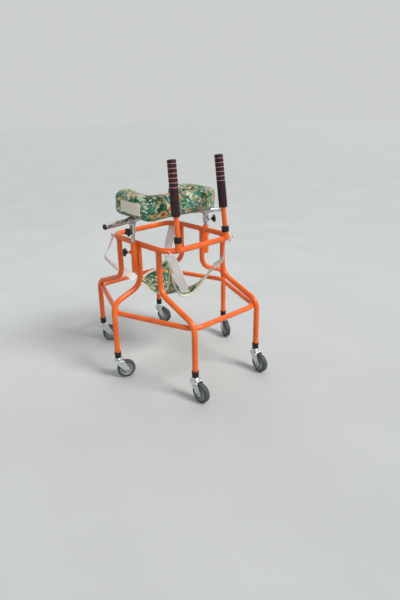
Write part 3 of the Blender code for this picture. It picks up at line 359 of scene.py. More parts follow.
class Shell:
    """Gathers grids into one mesh whose faces point outwards."""

    def __init__(self) -> None:
        """Start with no points."""
        self.points: list[Array] = []
        self.places: list[Array] = []
        self.faces: list[Array] = []
        self.slots: list[Array] = []
        self.count = 0

    def _keep(self, points: Array, faces: list[Array], slots: list[Array], places: Array) -> None:
        """Store points and the faces between them.

        Args:
            points: New points, n x 3.
            faces: Blocks of faces that number the new points from 0.
            slots: Material slots of each block's faces.
            places: Cloth coordinates of the points.
        """
        self.points.append(points)
        self.places.append(places)
        self.faces.extend(face + self.count for face in faces)
        self.slots.extend(slots)
        self.count += len(points)

    def add(
        self, grid: Array, matrix: Matrix | None = None, loop: bool = False, slot: int | Array = 0
    ) -> "Shell":
        """Add a tube-like grid: columns run round it, and rows run along it.

        Args:
            grid: Points, rows x columns x 3.
            matrix: Where the grid goes.
            loop: Whether the last row joins the first; otherwise a fan closes each end.
            slot: Material slot, one or one for each band between rows.

        Returns:
            The shell itself.
        """
        if matrix is not None:
            grid = carried(grid, matrix)
        rows, columns = grid.shape[:2]
        bands = rows if loop else rows - 1
        points, faces = grid.reshape(-1, 3), [quads(bands, rows, columns)]
        slots = [np.repeat(np.broadcast_to(slot, bands), columns)]
        if not loop:
            points = np.concatenate([points, grid[[0, -1]].mean(axis=1)])
            around = np.arange(columns)
            after = (around + 1) % columns
            last, low = (rows - 1) * columns, rows * columns
            faces.append(np.stack([np.full(columns, low), after, around], axis=-1))
            faces.append(np.stack([np.full(columns, low + 1), last + around, last + after], axis=-1))
            slots += [np.full(columns, slots[0][0]), np.full(columns, slots[0][-1])]
        self._keep(points, faces, slots, np.zeros_like(points))
        return self

    def add_sheet(self, grid: Array, thickness: float, matrix: Matrix | None = None) -> "Shell":
        """Add an open grid as a sheet with rounded long edges, half its thickness to each side.

        Each row becomes a loop: the outer side p + n t/2, the edge, the inner side p - n t/2
        backwards and the other edge. A strip of faces closes the first and the last row.

        Args:
            grid: Points, rows x columns x 3.
            thickness: Thickness of the sheet.
            matrix: Where the sheet goes.

        Returns:
            The shell itself.
        """
        if matrix is not None:
            grid = carried(grid, matrix)
        rows, columns = grid.shape[:2]
        lift = sheet_normals(grid) * thickness / 2.0
        first = grid[:, :1] + unit(grid[:, :1] - grid[:, 1:2]) * thickness * 0.4
        last = grid[:, -1:] + unit(grid[:, -1:] - grid[:, -2:-1]) * thickness * 0.4
        ring = np.concatenate([grid + lift, last, (grid - lift)[:, ::-1], first], axis=1)
        flat = cloth_place(grid)
        place = np.concatenate([flat, flat[:, -1:], flat[:, ::-1], flat[:, :1]], axis=1)
        k = np.arange(columns - 1)
        strip = np.stack([k + 1, k, 2 * columns - k, 2 * columns - k - 1], axis=-1)
        tips = np.array([[columns, columns - 1, columns + 1], [0, 2 * columns + 1, 2 * columns]])
        around = ring.shape[1]
        end = (rows - 1) * around
        faces = [quads(rows - 1, rows, around), strip, strip[:, ::-1] + end, tips]
        faces.append(tips[:, ::-1] + end)
        slots = [np.zeros(len(face), int) for face in faces]
        self._keep(ring.reshape(-1, 3), faces, slots, place.reshape(-1, 3))
        return self

    def turn(
        self,
        corners: Any,
        radii: Sequence[float],
        steps: int,
        sides: int,
        matrix: Matrix,
        closed: bool = True,
        slot: int = 0,
    ) -> "Shell":
        """Add a turned shape.

        Args:
            corners: Corners (r, z) of its profile, going up its outer side.
            radii: Radius of each corner.
            steps: Steps along each corner's arc.
            sides: Sides round the axis.
            matrix: Frame whose Z is the axis.
            closed: Whether the profile is closed round a bore.
            slot: Material slot.

        Returns:
            The shell itself.
        """
        profile = rounded_line(corners, radii, steps, closed)
        return self.add(revolve(profile, sides), matrix, loop=closed, slot=slot)

    def bead(
        self,
        path: Array,
        side: Any,
        radius: float,
        ripple: float,
        pitch: float,
        closed: bool = False,
    ) -> "Shell":
        """Add a weld bead whose radius is r (1 + ripple sin(pitch i)) at the path's point i.

        Args:
            path: Points of the bead's middle line.
            side: Vector that fixes how its outline is turned.
            radius: Mean radius.
            ripple: Share by which the radius goes up and down.
            pitch: Angle from one point to the next, in radians.
            closed: Whether the path is a loop.

        Returns:
            The shell itself.
        """
        swell = 1.0 + ripple * np.sin(np.arange(len(path)) * pitch)
        outlines = circle(radius, 8)[None] * swell[:, None, None]
        return self.add(sweep(path, outlines, side, closed), loop=closed)

    def touch_bead(
        self, place: Any, inward: Any, radius: float, bead: float, half_turn: float, rise: float
    ) -> "Shell":
        """Add the weld round a spot where a level tube touches an upright one.

        Its line lies on the upright tube: angle A cos t from the inward direction, height Z sin t.

        Args:
            place: Point on the upright tube's axis, level with the touching tube.
            inward: Level direction to the touching tube.
            radius: Radius of the upright tube.
            bead: Radius of the bead.
            half_turn: Angle A, in radians.
            rise: Height Z.

        Returns:
            The shell itself.
        """
        t = angles(72)
        inward = np.asarray((*inward, 0.0), float)
        angle = half_turn * np.cos(t)
        out = np.cos(angle)[:, None] * inward + np.sin(angle)[:, None] * np.cross(UP, inward)
        path = np.asarray(place, float) + radius * out + np.sin(t)[:, None] * UP * rise
        return self.bead(path, out, bead, 0.14, 1.05, closed=True)

    def piece(
        self, name: str, finishes: Sequence[bpy.types.Material], angle: float = 38.0
    ) -> bpy.types.Object:
        """Make the mesh object.

        Args:
            name: Name of the piece.
            finishes: Materials in the order of their slots.
            angle: Edges sharper than this, in degrees, stay sharp.

        Returns:
            The object, at the origin.
        """
        mesh = bpy.data.meshes.new(name)
        faces = [face for block in self.faces for face in block.tolist()]
        mesh.from_pydata(np.concatenate(self.points).tolist(), [], faces)
        mesh.polygons.foreach_set("material_index", np.concatenate(self.slots).astype(np.int32))
        set_places(mesh, np.concatenate(self.places))
        mesh.shade_smooth()
        mesh.set_sharp_from_angle(angle=math.radians(angle))
        for finish in finishes:
            mesh.materials.append(finish)
        return new_object(name, mesh)


# Shader expressions


def math_method(kind: str, reflected: bool = False) -> Callable[..., "Wire"]:
    """Make a method of Wire that adds a Math node.

    Args:
        kind: The node's operation.
        reflected: Whether the wire is the last value, as in 1 - mask.

    Returns:
        The method.
    """

    def method(wire: "Wire", *others: "Wire | float") -> "Wire":
        """Add the node to the wire's recipe."""
        values = (*others, wire) if reflected else (wire, *others)
        return wire.recipe.node("ShaderNodeMath", {"operation": kind}, dict(enumerate(values)))

    return method


class Wire:
    """Number socket that takes part in Python expressions, each of which adds a Math node."""

    def __init__(self, recipe: "Recipe", socket: bpy.types.NodeSocket) -> None:
        """Keep the socket and the recipe that it belongs to."""
        self.recipe = recipe
        self.socket = socket

    __add__ = __radd__ = math_method("ADD")
    __sub__ = math_method("SUBTRACT")
    __rsub__ = math_method("SUBTRACT", reflected=True)
    __mul__ = __rmul__ = math_method("MULTIPLY")
    sine = math_method("SINE")
    highest = math_method("MAXIMUM")

    def fade(self, low: float, high: float) -> "Wire":
        """Smooth step: 0 at low, 1 at high; low may be the larger."""
        inputs = {"Value": self, "From Min": low, "From Max": high}
        return self.recipe.node("ShaderNodeMapRange", {"interpolation_type": "SMOOTHSTEP"}, inputs)


class Recipe:
    """Builds the nodes of one finish."""

    def __init__(self, tree: bpy.types.NodeTree) -> None:
        """Work on a node tree."""
        self.tree = tree

    def node(
        self,
        kind: str,
        settings: Settings | None = None,
        inputs: dict[Any, Any] | None = None,
        output: str | int = 0,
    ) -> Wire:
        """Add a node.

        Args:
            kind: The node's type.
            settings: Its own settings, set first; "stops" sets a ramp's colours.
            inputs: Values or wires of its sockets, by name or number.
            output: The output that is returned.

        Returns:
            The output's wire.
        """
        made = self.tree.nodes.new(kind)
        for key, value in (settings or {}).items():
            if key == "stops":
                self._set_stops(made.color_ramp, value)
            else:
                setattr(made, key, value)
        for key, value in (inputs or {}).items():
            self.feed(made.inputs[key], value)
        return Wire(self, made.outputs[output])

    def feed(self, socket: bpy.types.NodeSocket, value: Any) -> None:
        """Link a wire to a socket, or set its number or colour.

        Args:
            socket: Input of a node.
            value: Wire, number, vector or colour.
        """
        if isinstance(value, Wire):
            self.tree.links.new(value.socket, socket)
        elif socket.type == "RGBA" and len(value) == 3:
            socket.default_value = (*value, 1.0)
        else:
            socket.default_value = value

    @staticmethod
    def _set_stops(ramp: bpy.types.ColorRamp, stops: Sequence[tuple[float, Colour]]) -> None:
        """Give a ramp hard-edged bands of colour.

        Args:
            ramp: The ramp.
            stops: Start and colour of each band.
        """
        ramp.interpolation = "CONSTANT"
        while len(ramp.elements) < len(stops):
            ramp.elements.new(1.0)
        for element, (place, colour) in zip(ramp.elements, stops):
            element.position = place
            element.color = (*colour, 1.0)

    def place(self) -> Wire:
        """Object coordinates, in metres."""
        return self.node("ShaderNodeTexCoord", output="Object")

    def cloth_place(self) -> Wire:
        """Coordinates along the cloth, in metres."""
        return self.node("ShaderNodeAttribute", {"attribute_name": "place"}, output="Vector")

    def vector(self, operation: str, *values: Wire | Sequence[float]) -> Wire:
        """Vector Math node."""
        return self.node("ShaderNodeVectorMath", {"operation": operation}, dict(enumerate(values)))

    def axes(self, place: Wire) -> tuple[Wire, Wire, Wire]:
        """The three numbers of a coordinate."""
        split = self.node("ShaderNodeSeparateXYZ", inputs={0: place})
        return split, *(Wire(self, output) for output in split.socket.node.outputs[1:])

    def noise(self, place: Wire, scale: float, detail: float = 2.0, output: str = "Fac") -> Wire:
        """Cloudy noise with so many features to the metre."""
        inputs = {"Vector": place, "Scale": scale, "Detail": detail}
        return self.node("ShaderNodeTexNoise", {}, inputs, output)

    def cells(
        self, place: Wire, scale: float, feature: str = "F1", output: str = "Distance"
    ) -> Wire:
        """Irregular cells, so many to the metre."""
        inputs = {"Vector": place, "Scale": scale}
        return self.node("ShaderNodeTexVoronoi", {"feature": feature}, inputs, output)

    def blend(self, share: Wire | float, first: Wire | Colour, second: Wire | Colour) -> Wire:
        """Colour between two colours."""
        return self.node("ShaderNodeMix", {"data_type": "RGBA"}, {0: share, 6: first, 7: second}, 2)

    def bump(self, height: Wire, distance: float, strength: float) -> Wire:
        """Normal of a surface that is raised by height times distance."""
        inputs = {"Height": height, "Distance": distance, "Strength": strength}
        return self.node("ShaderNodeBump", {}, inputs)


# Finishes


@dataclass(frozen=True)
class Finish:
    """Material: each kind says what its surface is, from Object or cloth coordinates."""

    name: str
    constants: ClassVar[Settings] = {}
    on_cloth: ClassVar[bool] = False

    def surface(self, recipe: Recipe, place: Wire) -> dict[str, Wire]:
        """Wires for the shader's sockets, by name."""
        raise NotImplementedError

    def make(self) -> bpy.types.Material:
        """Build the material.

        Returns:
            The material, with its constants and its surface's wires on the shader's own sockets.
        """
        material = bpy.data.materials.new(self.name)
        material.use_nodes = True
        recipe = Recipe(material.node_tree)
        place = recipe.cloth_place() if self.on_cloth else recipe.place()
        sockets = material.node_tree.nodes["Principled BSDF"].inputs
        for key, value in {**self.constants, **self.surface(recipe, place)}.items():
            recipe.feed(sockets[key], value)
        return material


@dataclass(frozen=True)
class GlossPaint(Finish):
    """Orange gloss paint on steel, with a faint orange-peel and small chips low on the legs."""

    name: str = "orange_gloss_paint"
    colour: Colour = (0.900, 0.156, 0.010)
    shade: Colour = (0.800, 0.116, 0.006)
    chip: Colour = (0.085, 0.030, 0.018)
    chip_top: float = 0.30
    chip_low: float = 0.16
    constants: ClassVar[Settings] = {"Coat Weight": 0.15, "Coat Roughness": 0.12}

    def surface(self, recipe: Recipe, place: Wire) -> dict[str, Wire]:
        """Clouded orange, with specks of primer in groups below the knees.

        Args:
            recipe: Recipe of the material.
            place: Object coordinates.

        Returns:
            Wires for the shader's sockets.
        """
        cloud = recipe.noise(place, 14.0, 3.0)
        speck = recipe.noise(place, 210.0, 1.0).fade(0.700, 0.712)
        group = recipe.noise(place, 31.0, 1.0).fade(0.50, 0.56)
        chip = speck * group * recipe.axes(place)[2].fade(self.chip_top, self.chip_low)
        ground = recipe.blend(cloud.fade(0.35, 0.70), self.shade, self.colour)
        peel = recipe.noise(place, 420.0, 1.0) * 0.4 + recipe.noise(place, 70.0, 1.0) - chip * 1.2
        return {
            "Base Color": recipe.blend(chip, ground, self.chip),
            "Roughness": 0.24 + cloud * 0.12 + chip * 0.35,
            "Normal": recipe.bump(peel, 0.00012, 0.5),
        }


@dataclass(frozen=True)
class Moulded(Finish):
    """Moulded plastic or rubber: a fine grain, with scuffs that are paler and duller."""

    colour: Colour
    scuff: Colour
    roughness: float = 0.42
    grain: float = 0.00005
    wear: float = 0.25
    constants: ClassVar[Settings] = {"Specular IOR Level": 0.36}

    def surface(self, recipe: Recipe, place: Wire) -> dict[str, Wire]:
        """Even colour with scuffed clouds.

        Args:
            recipe: Recipe of the material.
            place: Object coordinates.

        Returns:
            Wires for the shader's sockets.
        """
        cloud = recipe.noise(place, 60.0, 4.0)
        scuff = cloud.fade(0.52, 0.78) * self.wear
        return {
            "Base Color": recipe.blend(scuff, self.colour, self.scuff),
            "Roughness": self.roughness + scuff * 0.5 - cloud * 0.06,
            "Normal": recipe.bump(recipe.noise(place, 1600.0, 1.0), self.grain, 0.6),
        }


class Plating(Enum):
    """Bright metals: colour, darker colour, lowest and highest roughness, crystals to the metre."""

    CHROME = ((0.60, 0.61, 0.60), (0.34, 0.34, 0.34), 0.08, 0.22, 90.0)
    ZINC = ((0.74, 0.77, 0.79), (0.52, 0.55, 0.57), 0.24, 0.46, 260.0)
    STEEL = ((0.55, 0.55, 0.56), (0.36, 0.36, 0.37), 0.28, 0.45, 200.0)


@dataclass(frozen=True)
class Plated(Finish):
    """Plated metal with cloudy patches and fine crystals."""

    plating: Plating
    constants: ClassVar[Settings] = {"Metallic": 1.0}

    def surface(self, recipe: Recipe, place: Wire) -> dict[str, Wire]:
        """Crystals and clouds that share colour and roughness between bright and dull.

        Args:
            recipe: Recipe of the material.
            place: Object coordinates.

        Returns:
            Wires for the shader's sockets.
        """
        colour, dark, smooth, dull, size = self.plating.value
        crystal = recipe.axes(recipe.cells(place, size, output="Color"))[0]
        share = crystal * 0.45 + recipe.noise(place, 45.0, 4.0) * 0.55
        return {
            "Base Color": recipe.blend(share.fade(0.25, 0.80), colour, dark),
            "Roughness": smooth + share * (dull - smooth),
            "Normal": recipe.bump(recipe.noise(place, 900.0), 0.00003, 0.4),
        }


@dataclass(frozen=True)
class GripRubber(Finish):
    """Dark maroon rubber with a soft gloss and fine lengthwise drawing marks."""

    name: str = "maroon_rubber"
    colour: Colour = (0.020, 0.0030, 0.0055)
    worn: Colour = (0.055, 0.0120, 0.0180)
    constants: ClassVar[Settings] = {"Specular IOR Level": 0.38}

    def surface(self, recipe: Recipe, place: Wire) -> dict[str, Wire]:
        """Clouded maroon; the marks are noise that is stretched along the grip.

        Args:
            recipe: Recipe of the material.
            place: Object coordinates.

        Returns:
            Wires for the shader's sockets.
        """
        cloud = recipe.noise(place, 45.0, 4.0)
        marks = recipe.noise(recipe.vector("MULTIPLY", place, (900.0, 900.0, 30.0)), 1.0)
        return {
            "Base Color": recipe.blend(cloud.fade(0.45, 0.80), self.colour, self.worn),
            "Roughness": 0.34 + cloud * 0.16,
            "Normal": recipe.bump(marks, 0.00008, 0.5),
        }


@dataclass(frozen=True)
class PrintedCotton(Finish):
    """Cotton with a busy meadow print: leaves, rosettes and pebbles in five families of colour."""

    name: str = "meadow_print"
    leaves: tuple[tuple[float, Colour], ...] = (
        (0.00, (0.012, 0.085, 0.030)),
        (0.20, (0.030, 0.190, 0.060)),
        (0.36, (0.020, 0.180, 0.150)),
        (0.48, (0.230, 0.330, 0.080)),
        (0.58, (0.420, 0.540, 0.400)),
        (0.68, (0.560, 0.190, 0.050)),
        (0.76, (0.070, 0.190, 0.330)),
        (0.83, (0.680, 0.600, 0.360)),
        (0.91, (0.100, 0.045, 0.020)),
        (0.96, (0.700, 0.420, 0.080)),
    )
    pebbles: tuple[tuple[float, Colour], ...] = (
        (0.00, (0.020, 0.110, 0.040)),
        (0.24, (0.240, 0.480, 0.350)),
        (0.42, (0.055, 0.260, 0.090)),
        (0.60, (0.600, 0.580, 0.420)),
        (0.74, (0.070, 0.200, 0.340)),
        (0.86, (0.640, 0.240, 0.070)),
    )
    rosette: tuple[tuple[float, Colour], ...] = (
        (0.430, (0.760, 0.700, 0.480)),
        (0.390, (0.720, 0.185, 0.040)),
        (0.245, (0.150, 0.050, 0.018)),
    )
    outline: Colour = (0.010, 0.040, 0.016)
    bend: float = 0.022
    leaf_scale: float = 72.0
    pebble_scale: float = 150.0
    rosette_scale: float = 27.0
    constants: ClassVar[Settings] = {
        "Sheen Weight": 0.15, "Sheen Roughness": 0.5, "Specular IOR Level": 0.35
    }
    on_cloth: ClassVar[bool] = True

    def surface(self, recipe: Recipe, place: Wire) -> dict[str, Wire]:
        """Print: cells on bent coordinates coloured by ramps, and ringed rosettes over them.

        Args:
            recipe: Recipe of the material.
            place: Coordinates along the cloth.

        Returns:
            Wires for the shader's sockets.
        """
        drift = recipe.noise(place, 42.0, 1.0, "Color")
        bent = recipe.vector("MULTIPLY_ADD", drift, (self.bend,) * 3, place)
        leaf = recipe.axes(recipe.cells(bent, self.leaf_scale, output="Color"))[0]
        stone = recipe.axes(recipe.cells(bent, self.pebble_scale, output="Color"))[1]
        leaf_colour = recipe.node("ShaderNodeValToRGB", {"stops": self.leaves}, {0: leaf})
        stone_colour = recipe.node("ShaderNodeValToRGB", {"stops": self.pebbles}, {0: stone})
        patch = recipe.noise(bent, 26.0, 1.0).fade(0.50, 0.54)
        colour = recipe.blend(patch, leaf_colour, stone_colour)
        vein = recipe.cells(bent, self.leaf_scale, "DISTANCE_TO_EDGE").fade(0.075, 0.035)
        vein = vein * recipe.noise(place, 30.0, 1.0).fade(0.42, 0.50)
        colour = recipe.blend(vein, colour, self.outline)
        bloom = recipe.cells(bent, self.rosette_scale) + recipe.noise(place, 190.0, 1.0) * 0.16
        shown = recipe.axes(recipe.cells(bent, self.rosette_scale, output="Color"))[2]
        shown = shown.fade(0.52, 0.54)
        for edge, tone in self.rosette:
            colour = recipe.blend(bloom.fade(edge, edge - 0.015) * shown, colour, tone)
        fine = recipe.noise(place, 900.0)
        return {
            "Base Color": colour,
            "Roughness": 0.56 + fine * 0.22,
            "Normal": recipe.bump(fine * 0.5 + recipe.noise(place, 240.0), 0.00030, 0.7),
        }


@dataclass(frozen=True)
class Webbing(Finish):
    """Flat woven tape with slanting ribs across its width, and painted shade in the low parts of its
    weave.
    """

    colour: Colour
    # Darker colour: painted shade in the weave's low parts, also used for the soil clouds.
    shadow: Colour
    rib: float = 0.0021
    constants: ClassVar[Settings] = {"Sheen Weight": 0.2, "Sheen Roughness": 0.4}
    on_cloth: ClassVar[bool] = True

    def surface(self, recipe: Recipe, place: Wire) -> dict[str, Wire]:
        """Ribs sin(2 pi (0.9 x + y) / rib) over finer yarns sin(2 pi x / 0.55 rib).

        Args:
            recipe: Recipe of the material.
            place: Coordinates along the cloth.

        Returns:
            Wires for the shader's sockets.
        """
        across, along, _ = recipe.axes(place)
        ribs = ((across * 0.9 + along) * (FULL_TURN / self.rib)).sine() * 0.5 + 0.5
        yarn = (across * (FULL_TURN / (self.rib * 0.55))).sine() * 0.5 + 0.5
        weave = ribs * 0.65 + yarn * 0.35
        soil = recipe.noise(place, 25.0, 4.0).fade(0.45, 0.85) * 0.15
        # Painted shade: the colour goes towards the darker colour where the weave is low.
        shaded = recipe.blend(weave.fade(0.55, 0.0) * 0.22, self.colour, self.shadow)
        return {
            "Base Color": recipe.blend(soil, shaded, self.shadow),
            "Roughness": 0.62 + weave * 0.15,
            "Normal": recipe.bump(weave, 0.00035, 0.8),
        }


@dataclass(frozen=True)
class LoopFabric(Finish):
    """Cream loop pile of a hook-and-loop patch."""

    name: str = "cream_loop_pile"
    colour: Colour = (0.870, 0.805, 0.690)
    # Darker colour: painted shade between the loops, also used for the soft darker clouds.
    shadow: Colour = (0.640, 0.565, 0.450)
    constants: ClassVar[Settings] = {"Sheen Weight": 0.35, "Sheen Roughness": 0.6}
    on_cloth: ClassVar[bool] = True

    def surface(self, recipe: Recipe, place: Wire) -> dict[str, Wire]:
        """Fine pile, with painted shade between the loops, and darker in soft clouds.

        Args:
            recipe: Recipe of the material.
            place: Coordinates along the cloth.

        Returns:
            Wires for the shader's sockets.
        """
        pile = recipe.noise(place, 1300.0, 3.0)
        cloud = recipe.noise(place, 60.0, 4.0)
        # Painted shade: the pile's low parts, between the loops, go towards the darker colour.
        tone = recipe.blend(pile.fade(0.62, 0.30) * 0.55, self.colour, self.shadow)
        return {
            "Base Color": recipe.blend(cloud.fade(0.5, 0.85) * 0.3, tone, self.shadow),
            "Roughness": 0.80 + pile * 0.12,
            "Normal": recipe.bump(pile * 0.7 + cloud * 0.6, 0.00050, 0.9),
        }


@dataclass(frozen=True)
class FloorFinish(Finish):
    """Plain pale floor with faint clouds in its colour."""

    name: str = "pale_floor"
    colour: Colour = (0.560, 0.580, 0.575)

    def surface(self, recipe: Recipe, place: Wire) -> dict[str, Wire]:
        """Clouds that are up to 6 % darker.

        Args:
            recipe: Recipe of the material.
            place: Object coordinates.

        Returns:
            Wires for the shader's sockets.
        """
        cloud = recipe.noise(place, 2.2, 4.0)
        dark = tuple(0.94 * part for part in self.colour)
        colour = recipe.blend(cloud.fade(0.3, 0.7), dark, self.colour)
        return {"Base Color": colour, "Roughness": 0.55 + cloud * 0.2}


class Finishes:
    """Every material of the walker, made once."""

    def __init__(self) -> None:
        """Build all the materials."""
        self.paint = GlossPaint().make()
        self.black = Moulded("black_moulding", (0.007, 0.007, 0.008), (0.06,) * 3, 0.34).make()
        self.plug = Moulded("dark_end_plug", (0.020, 0.028, 0.024), (0.09, 0.10, 0.09), 0.50).make()
        self.grip = GripRubber().make()
        self.ring = Moulded("rose_ring", (0.660, 0.215, 0.240), (0.74, 0.40, 0.41), 0.45).make()
        self.chrome = Plated("bright_chrome", Plating.CHROME).make()
        self.zinc = Plated("zinc_plating", Plating.ZINC).make()
        self.steel = Plated("screw_steel", Plating.STEEL).make()
        grey, dull = (0.34, 0.37, 0.385), (0.20, 0.21, 0.21)
        self.hub = Moulded("grey_hub_plastic", grey, dull, 0.45, wear=0.6).make()
        grey, dusty = (0.060, 0.066, 0.070), (0.19, 0.20, 0.20)
        self.tyre = Moulded("grey_tyre_rubber", grey, dusty, 0.60, 0.00012, 0.7).make()
        self.cloth = PrintedCotton().make()
        self.loops = LoopFabric().make()
        cream, tan = (0.74, 0.70, 0.55), (0.50, 0.46, 0.34)
        self.binding = Webbing("cream_binding", cream, tan, rib=0.0012).make()
        self.webbing = Webbing("white_webbing", (0.95, 0.945, 0.93), (0.80, 0.80, 0.79)).make()
        # Near-black weave for the sheet of painted shade under the seat's front.
        self.dark_tape = Webbing("dark_tape", (0.020, 0.022, 0.026), (0.008, 0.008, 0.010)).make()


# Frame


@dataclass(frozen=True)
class LegLine:
    """Where one leg starts on the ring, which way and how far it steps out, and its caster's way."""

    name: str
    top: tuple[float, float]
    outward: tuple[float, float]
    step: float
    heading: float

    @property
    def foot(self) -> Array:
        """Place of the leg's end on the floor plan."""
        return np.array(self.top) + np.array(self.outward) * self.step


LEG_LINES = (
    LegLine("rear_right", (-0.165, 0.1316), (0.0, 1.0), 0.193, -27.0),
    LegLine("middle_right", (-0.165, -0.005), (-1.0, 0.0), 0.1317, -20.0),
    LegLine("front_right", (-0.165, -0.1316), (0.0, -1.0), 0.193, -88.0),
    LegLine("front_left", (0.165, -0.1316), (0.0, -1.0), 0.193, -97.0),
    LegLine("middle_left", (0.165, -0.005), (1.0, 0.0), 0.1317, -112.0),
    LegLine("rear_left", (0.165, 0.1316), (0.0, 1.0), 0.193, -75.0),
)


@dataclass
class TubeFrame:
    """Upper ring, lower ring and six legs, welded and painted."""

    finishes: Finishes
    half_width: float = 0.165
    half_length: float = 0.191
    corner: float = 0.060
    lower_radius: float = 0.010
    lower_height: float = 0.2814
    lower_sink: float = 0.0006
    lower_corner: float = 0.060
    step_start: float = 0.372
    step_slope: float = 0.37
    upper_bend: float = 0.062
    lower_bend: float = 0.050
    leg_end: float = 0.0964
    leg_bore_share: float = 0.84
    leg_recess: float = 0.012
    peg_radius: float = 0.0030
    peg_length: float = 0.0130
    peg_head: float = 0.0050
    peg_head_length: float = 0.0025
    peg_weld: float = 0.0036
    bead: float = 0.0019

    def pegs(self) -> dict[str, tuple[Array, Array]]:
        """Pegs at the ring's corners.

        Returns:
            Middle of each ring corner and the level direction out of it, by the corner's name.
        """
        reach = self.corner * (1.0 - math.sqrt(0.5))
        found = {}
        for side in Side:
            for end, word in ((-1.0, "front"), (1.0, "rear")):
                x, y = side.value * (self.half_width - reach), end * (self.half_length - reach)
                direction = unit(np.array([side.value, end, 0.0]))
                found[f"{word}_{side.label}"] = (np.array([x, y, RING_HEIGHT]), direction)
        return found

    def _add_peg(self, shell: Shell, place: Array, direction: Array) -> None:
        """Add a headed peg and the weld round its foot.

        Args:
            shell: Shell of the ring.
            place: Middle of the ring's tube.
            direction: Direction of the peg.
        """
        frame = axis_frame(place, direction)
        end = RING_RADIUS + self.peg_length
        head = end - self.peg_head_length
        corners = [(self.peg_radius, 0.0), (self.peg_radius, head), (self.peg_head, head)]
        corners += [(self.peg_head, end), (0.0010, end)]
        shell.turn(corners, [0.0, 0.0004, 0.0005, 0.0009, 0.0], 4, 24, frame, closed=False)
        foot = carried(hoop(self.peg_weld, self.peg_weld, RING_RADIUS - 0.0003, 40), frame)
        shell.bead(foot, direction, 0.0010, 0.2, 1.3, closed=True)

    def _build_ring(self) -> None:
        """Upper ring with its pegs, the handle sockets and all the beads on it.

        A leg's bead follows its cope: (R cos t, R sin t, -R |sin t|).
        """
        signs = ((1, 1), (-1, 1), (-1, -1), (1, -1))
        corners = [(x * self.half_width, y * self.half_length, RING_HEIGHT) for x, y in signs]
        path = rounded_line(corners, [self.corner] * 4, 20, closed=True)
        shell = Shell().add(sweep(path, circle(RING_RADIUS, 36), UP, closed=True), loop=True)
        for place, direction in self.pegs().values():
            self._add_peg(shell, place, direction)
        for line in LEG_LINES:
            out = hoop(1.0, 1.0, 0.0, 120)
            curve = RING_RADIUS * out
            curve[:, 2] = -RING_RADIUS * np.abs(out[:, 1])
            curve += np.array([*line.top, RING_HEIGHT])
            shell.bead(curve, out - 0.6 * UP, self.bead, 0.16, 0.95, closed=True)
        for side in Side:
            HandleSocket(side).add_to(shell)
        for side in Side:
            seat = (side.value * POST_X, POST_Y, RING_HEIGHT)
            inward = (-side.value, 0.0)
            shell.touch_bead(seat, inward, POST_SOCKET_RADIUS, 0.0021, 0.60, 0.0070)
        piece = shell.piece("ring_upper", [self.finishes.paint])
        settle(piece, "frame", ["upper_ring"])

    def _leg_grid(self, line: LegLine) -> Array:
        """One leg from the saddle under the ring down to its end.

        The first row is the cope: z = ring height - sqrt(R^2 - dx^2), dx from the bar's axis.

        Args:
            line: The leg's line.

        Returns:
            Grid of the leg.
        """
        foot = line.foot
        knee = self.step_start - self.step_slope * line.step
        corners = [(*line.top, RING_HEIGHT), (*line.top, self.step_start)]
        corners += [(*foot, knee), (*foot, self.leg_end)]
        path = rounded_line(corners, [0.0, self.upper_bend, self.lower_bend, 0.0], 18)
        side = np.cross((*line.outward, 0.0), UP)
        grid = sweep(path, circle(RING_RADIUS, 36), side)
        across = grid[0, :, 0] - line.top[0]
        cope = np.sqrt(np.maximum(RING_RADIUS**2 - across**2, 0.0))
        grid[0, :, 2] = RING_HEIGHT - cope + 0.0003
        inner = grid[-1:].copy()
        inner[0, :, :2] = foot + (inner[0, :, :2] - foot) * self.leg_bore_share
        return np.concatenate([grid, inner, inner + self.leg_recess * UP])

    def _build_lower_ring(self) -> None:
        """Six-sided ring inside the knees, bent round each leg, with its welds.

        With half angle h at a foot, bend radius R and both tubes' radii touching, the corner lies
        r1 + r2 - sink + R - R / sin h from the foot along the bisector.
        """
        feet = np.array([(*line.foot, self.lower_height) for line in LEG_LINES[::-1]])
        before = unit(np.roll(feet, 1, axis=0) - feet)
        after = unit(np.roll(feet, -1, axis=0) - feet)
        half = np.arccos((before * after).sum(axis=1)) / 2.0
        touching = RING_RADIUS + self.lower_radius - self.lower_sink
        inset = touching + self.lower_corner - self.lower_corner / np.sin(half)
        corners = feet + unit(before + after) * inset[:, None]
        path = rounded_line(corners, [self.lower_corner] * 6, 16, closed=True)
        shell = Shell().add(sweep(path, circle(self.lower_radius, 32), UP, closed=True), loop=True)
        for line in LEG_LINES:
            place = (*line.foot, self.lower_height)
            inward = unit(path[np.argmin(np.linalg.norm(path - place, axis=1))] - place)[:2]
            shell.touch_bead(place, inward, RING_RADIUS, 0.0023, 0.66, 0.0068)
            shell.touch_bead(place, inward, RING_RADIUS - 0.0004, 0.0020, 0.50, 0.0050)
        piece = shell.piece("ring_lower", [self.finishes.paint])
        settle(piece, "frame", ["lower_ring"])

    def build(self) -> None:
        """Make the frame's pieces."""
        self._build_ring()
        for line in LEG_LINES:
            shell = Shell().add(self._leg_grid(line))
            piece = shell.piece(f"leg_tube_{line.name}", [self.finishes.paint])
            settle(piece, "frame", [f"leg_{line.name}"])
        self._build_lower_ring()


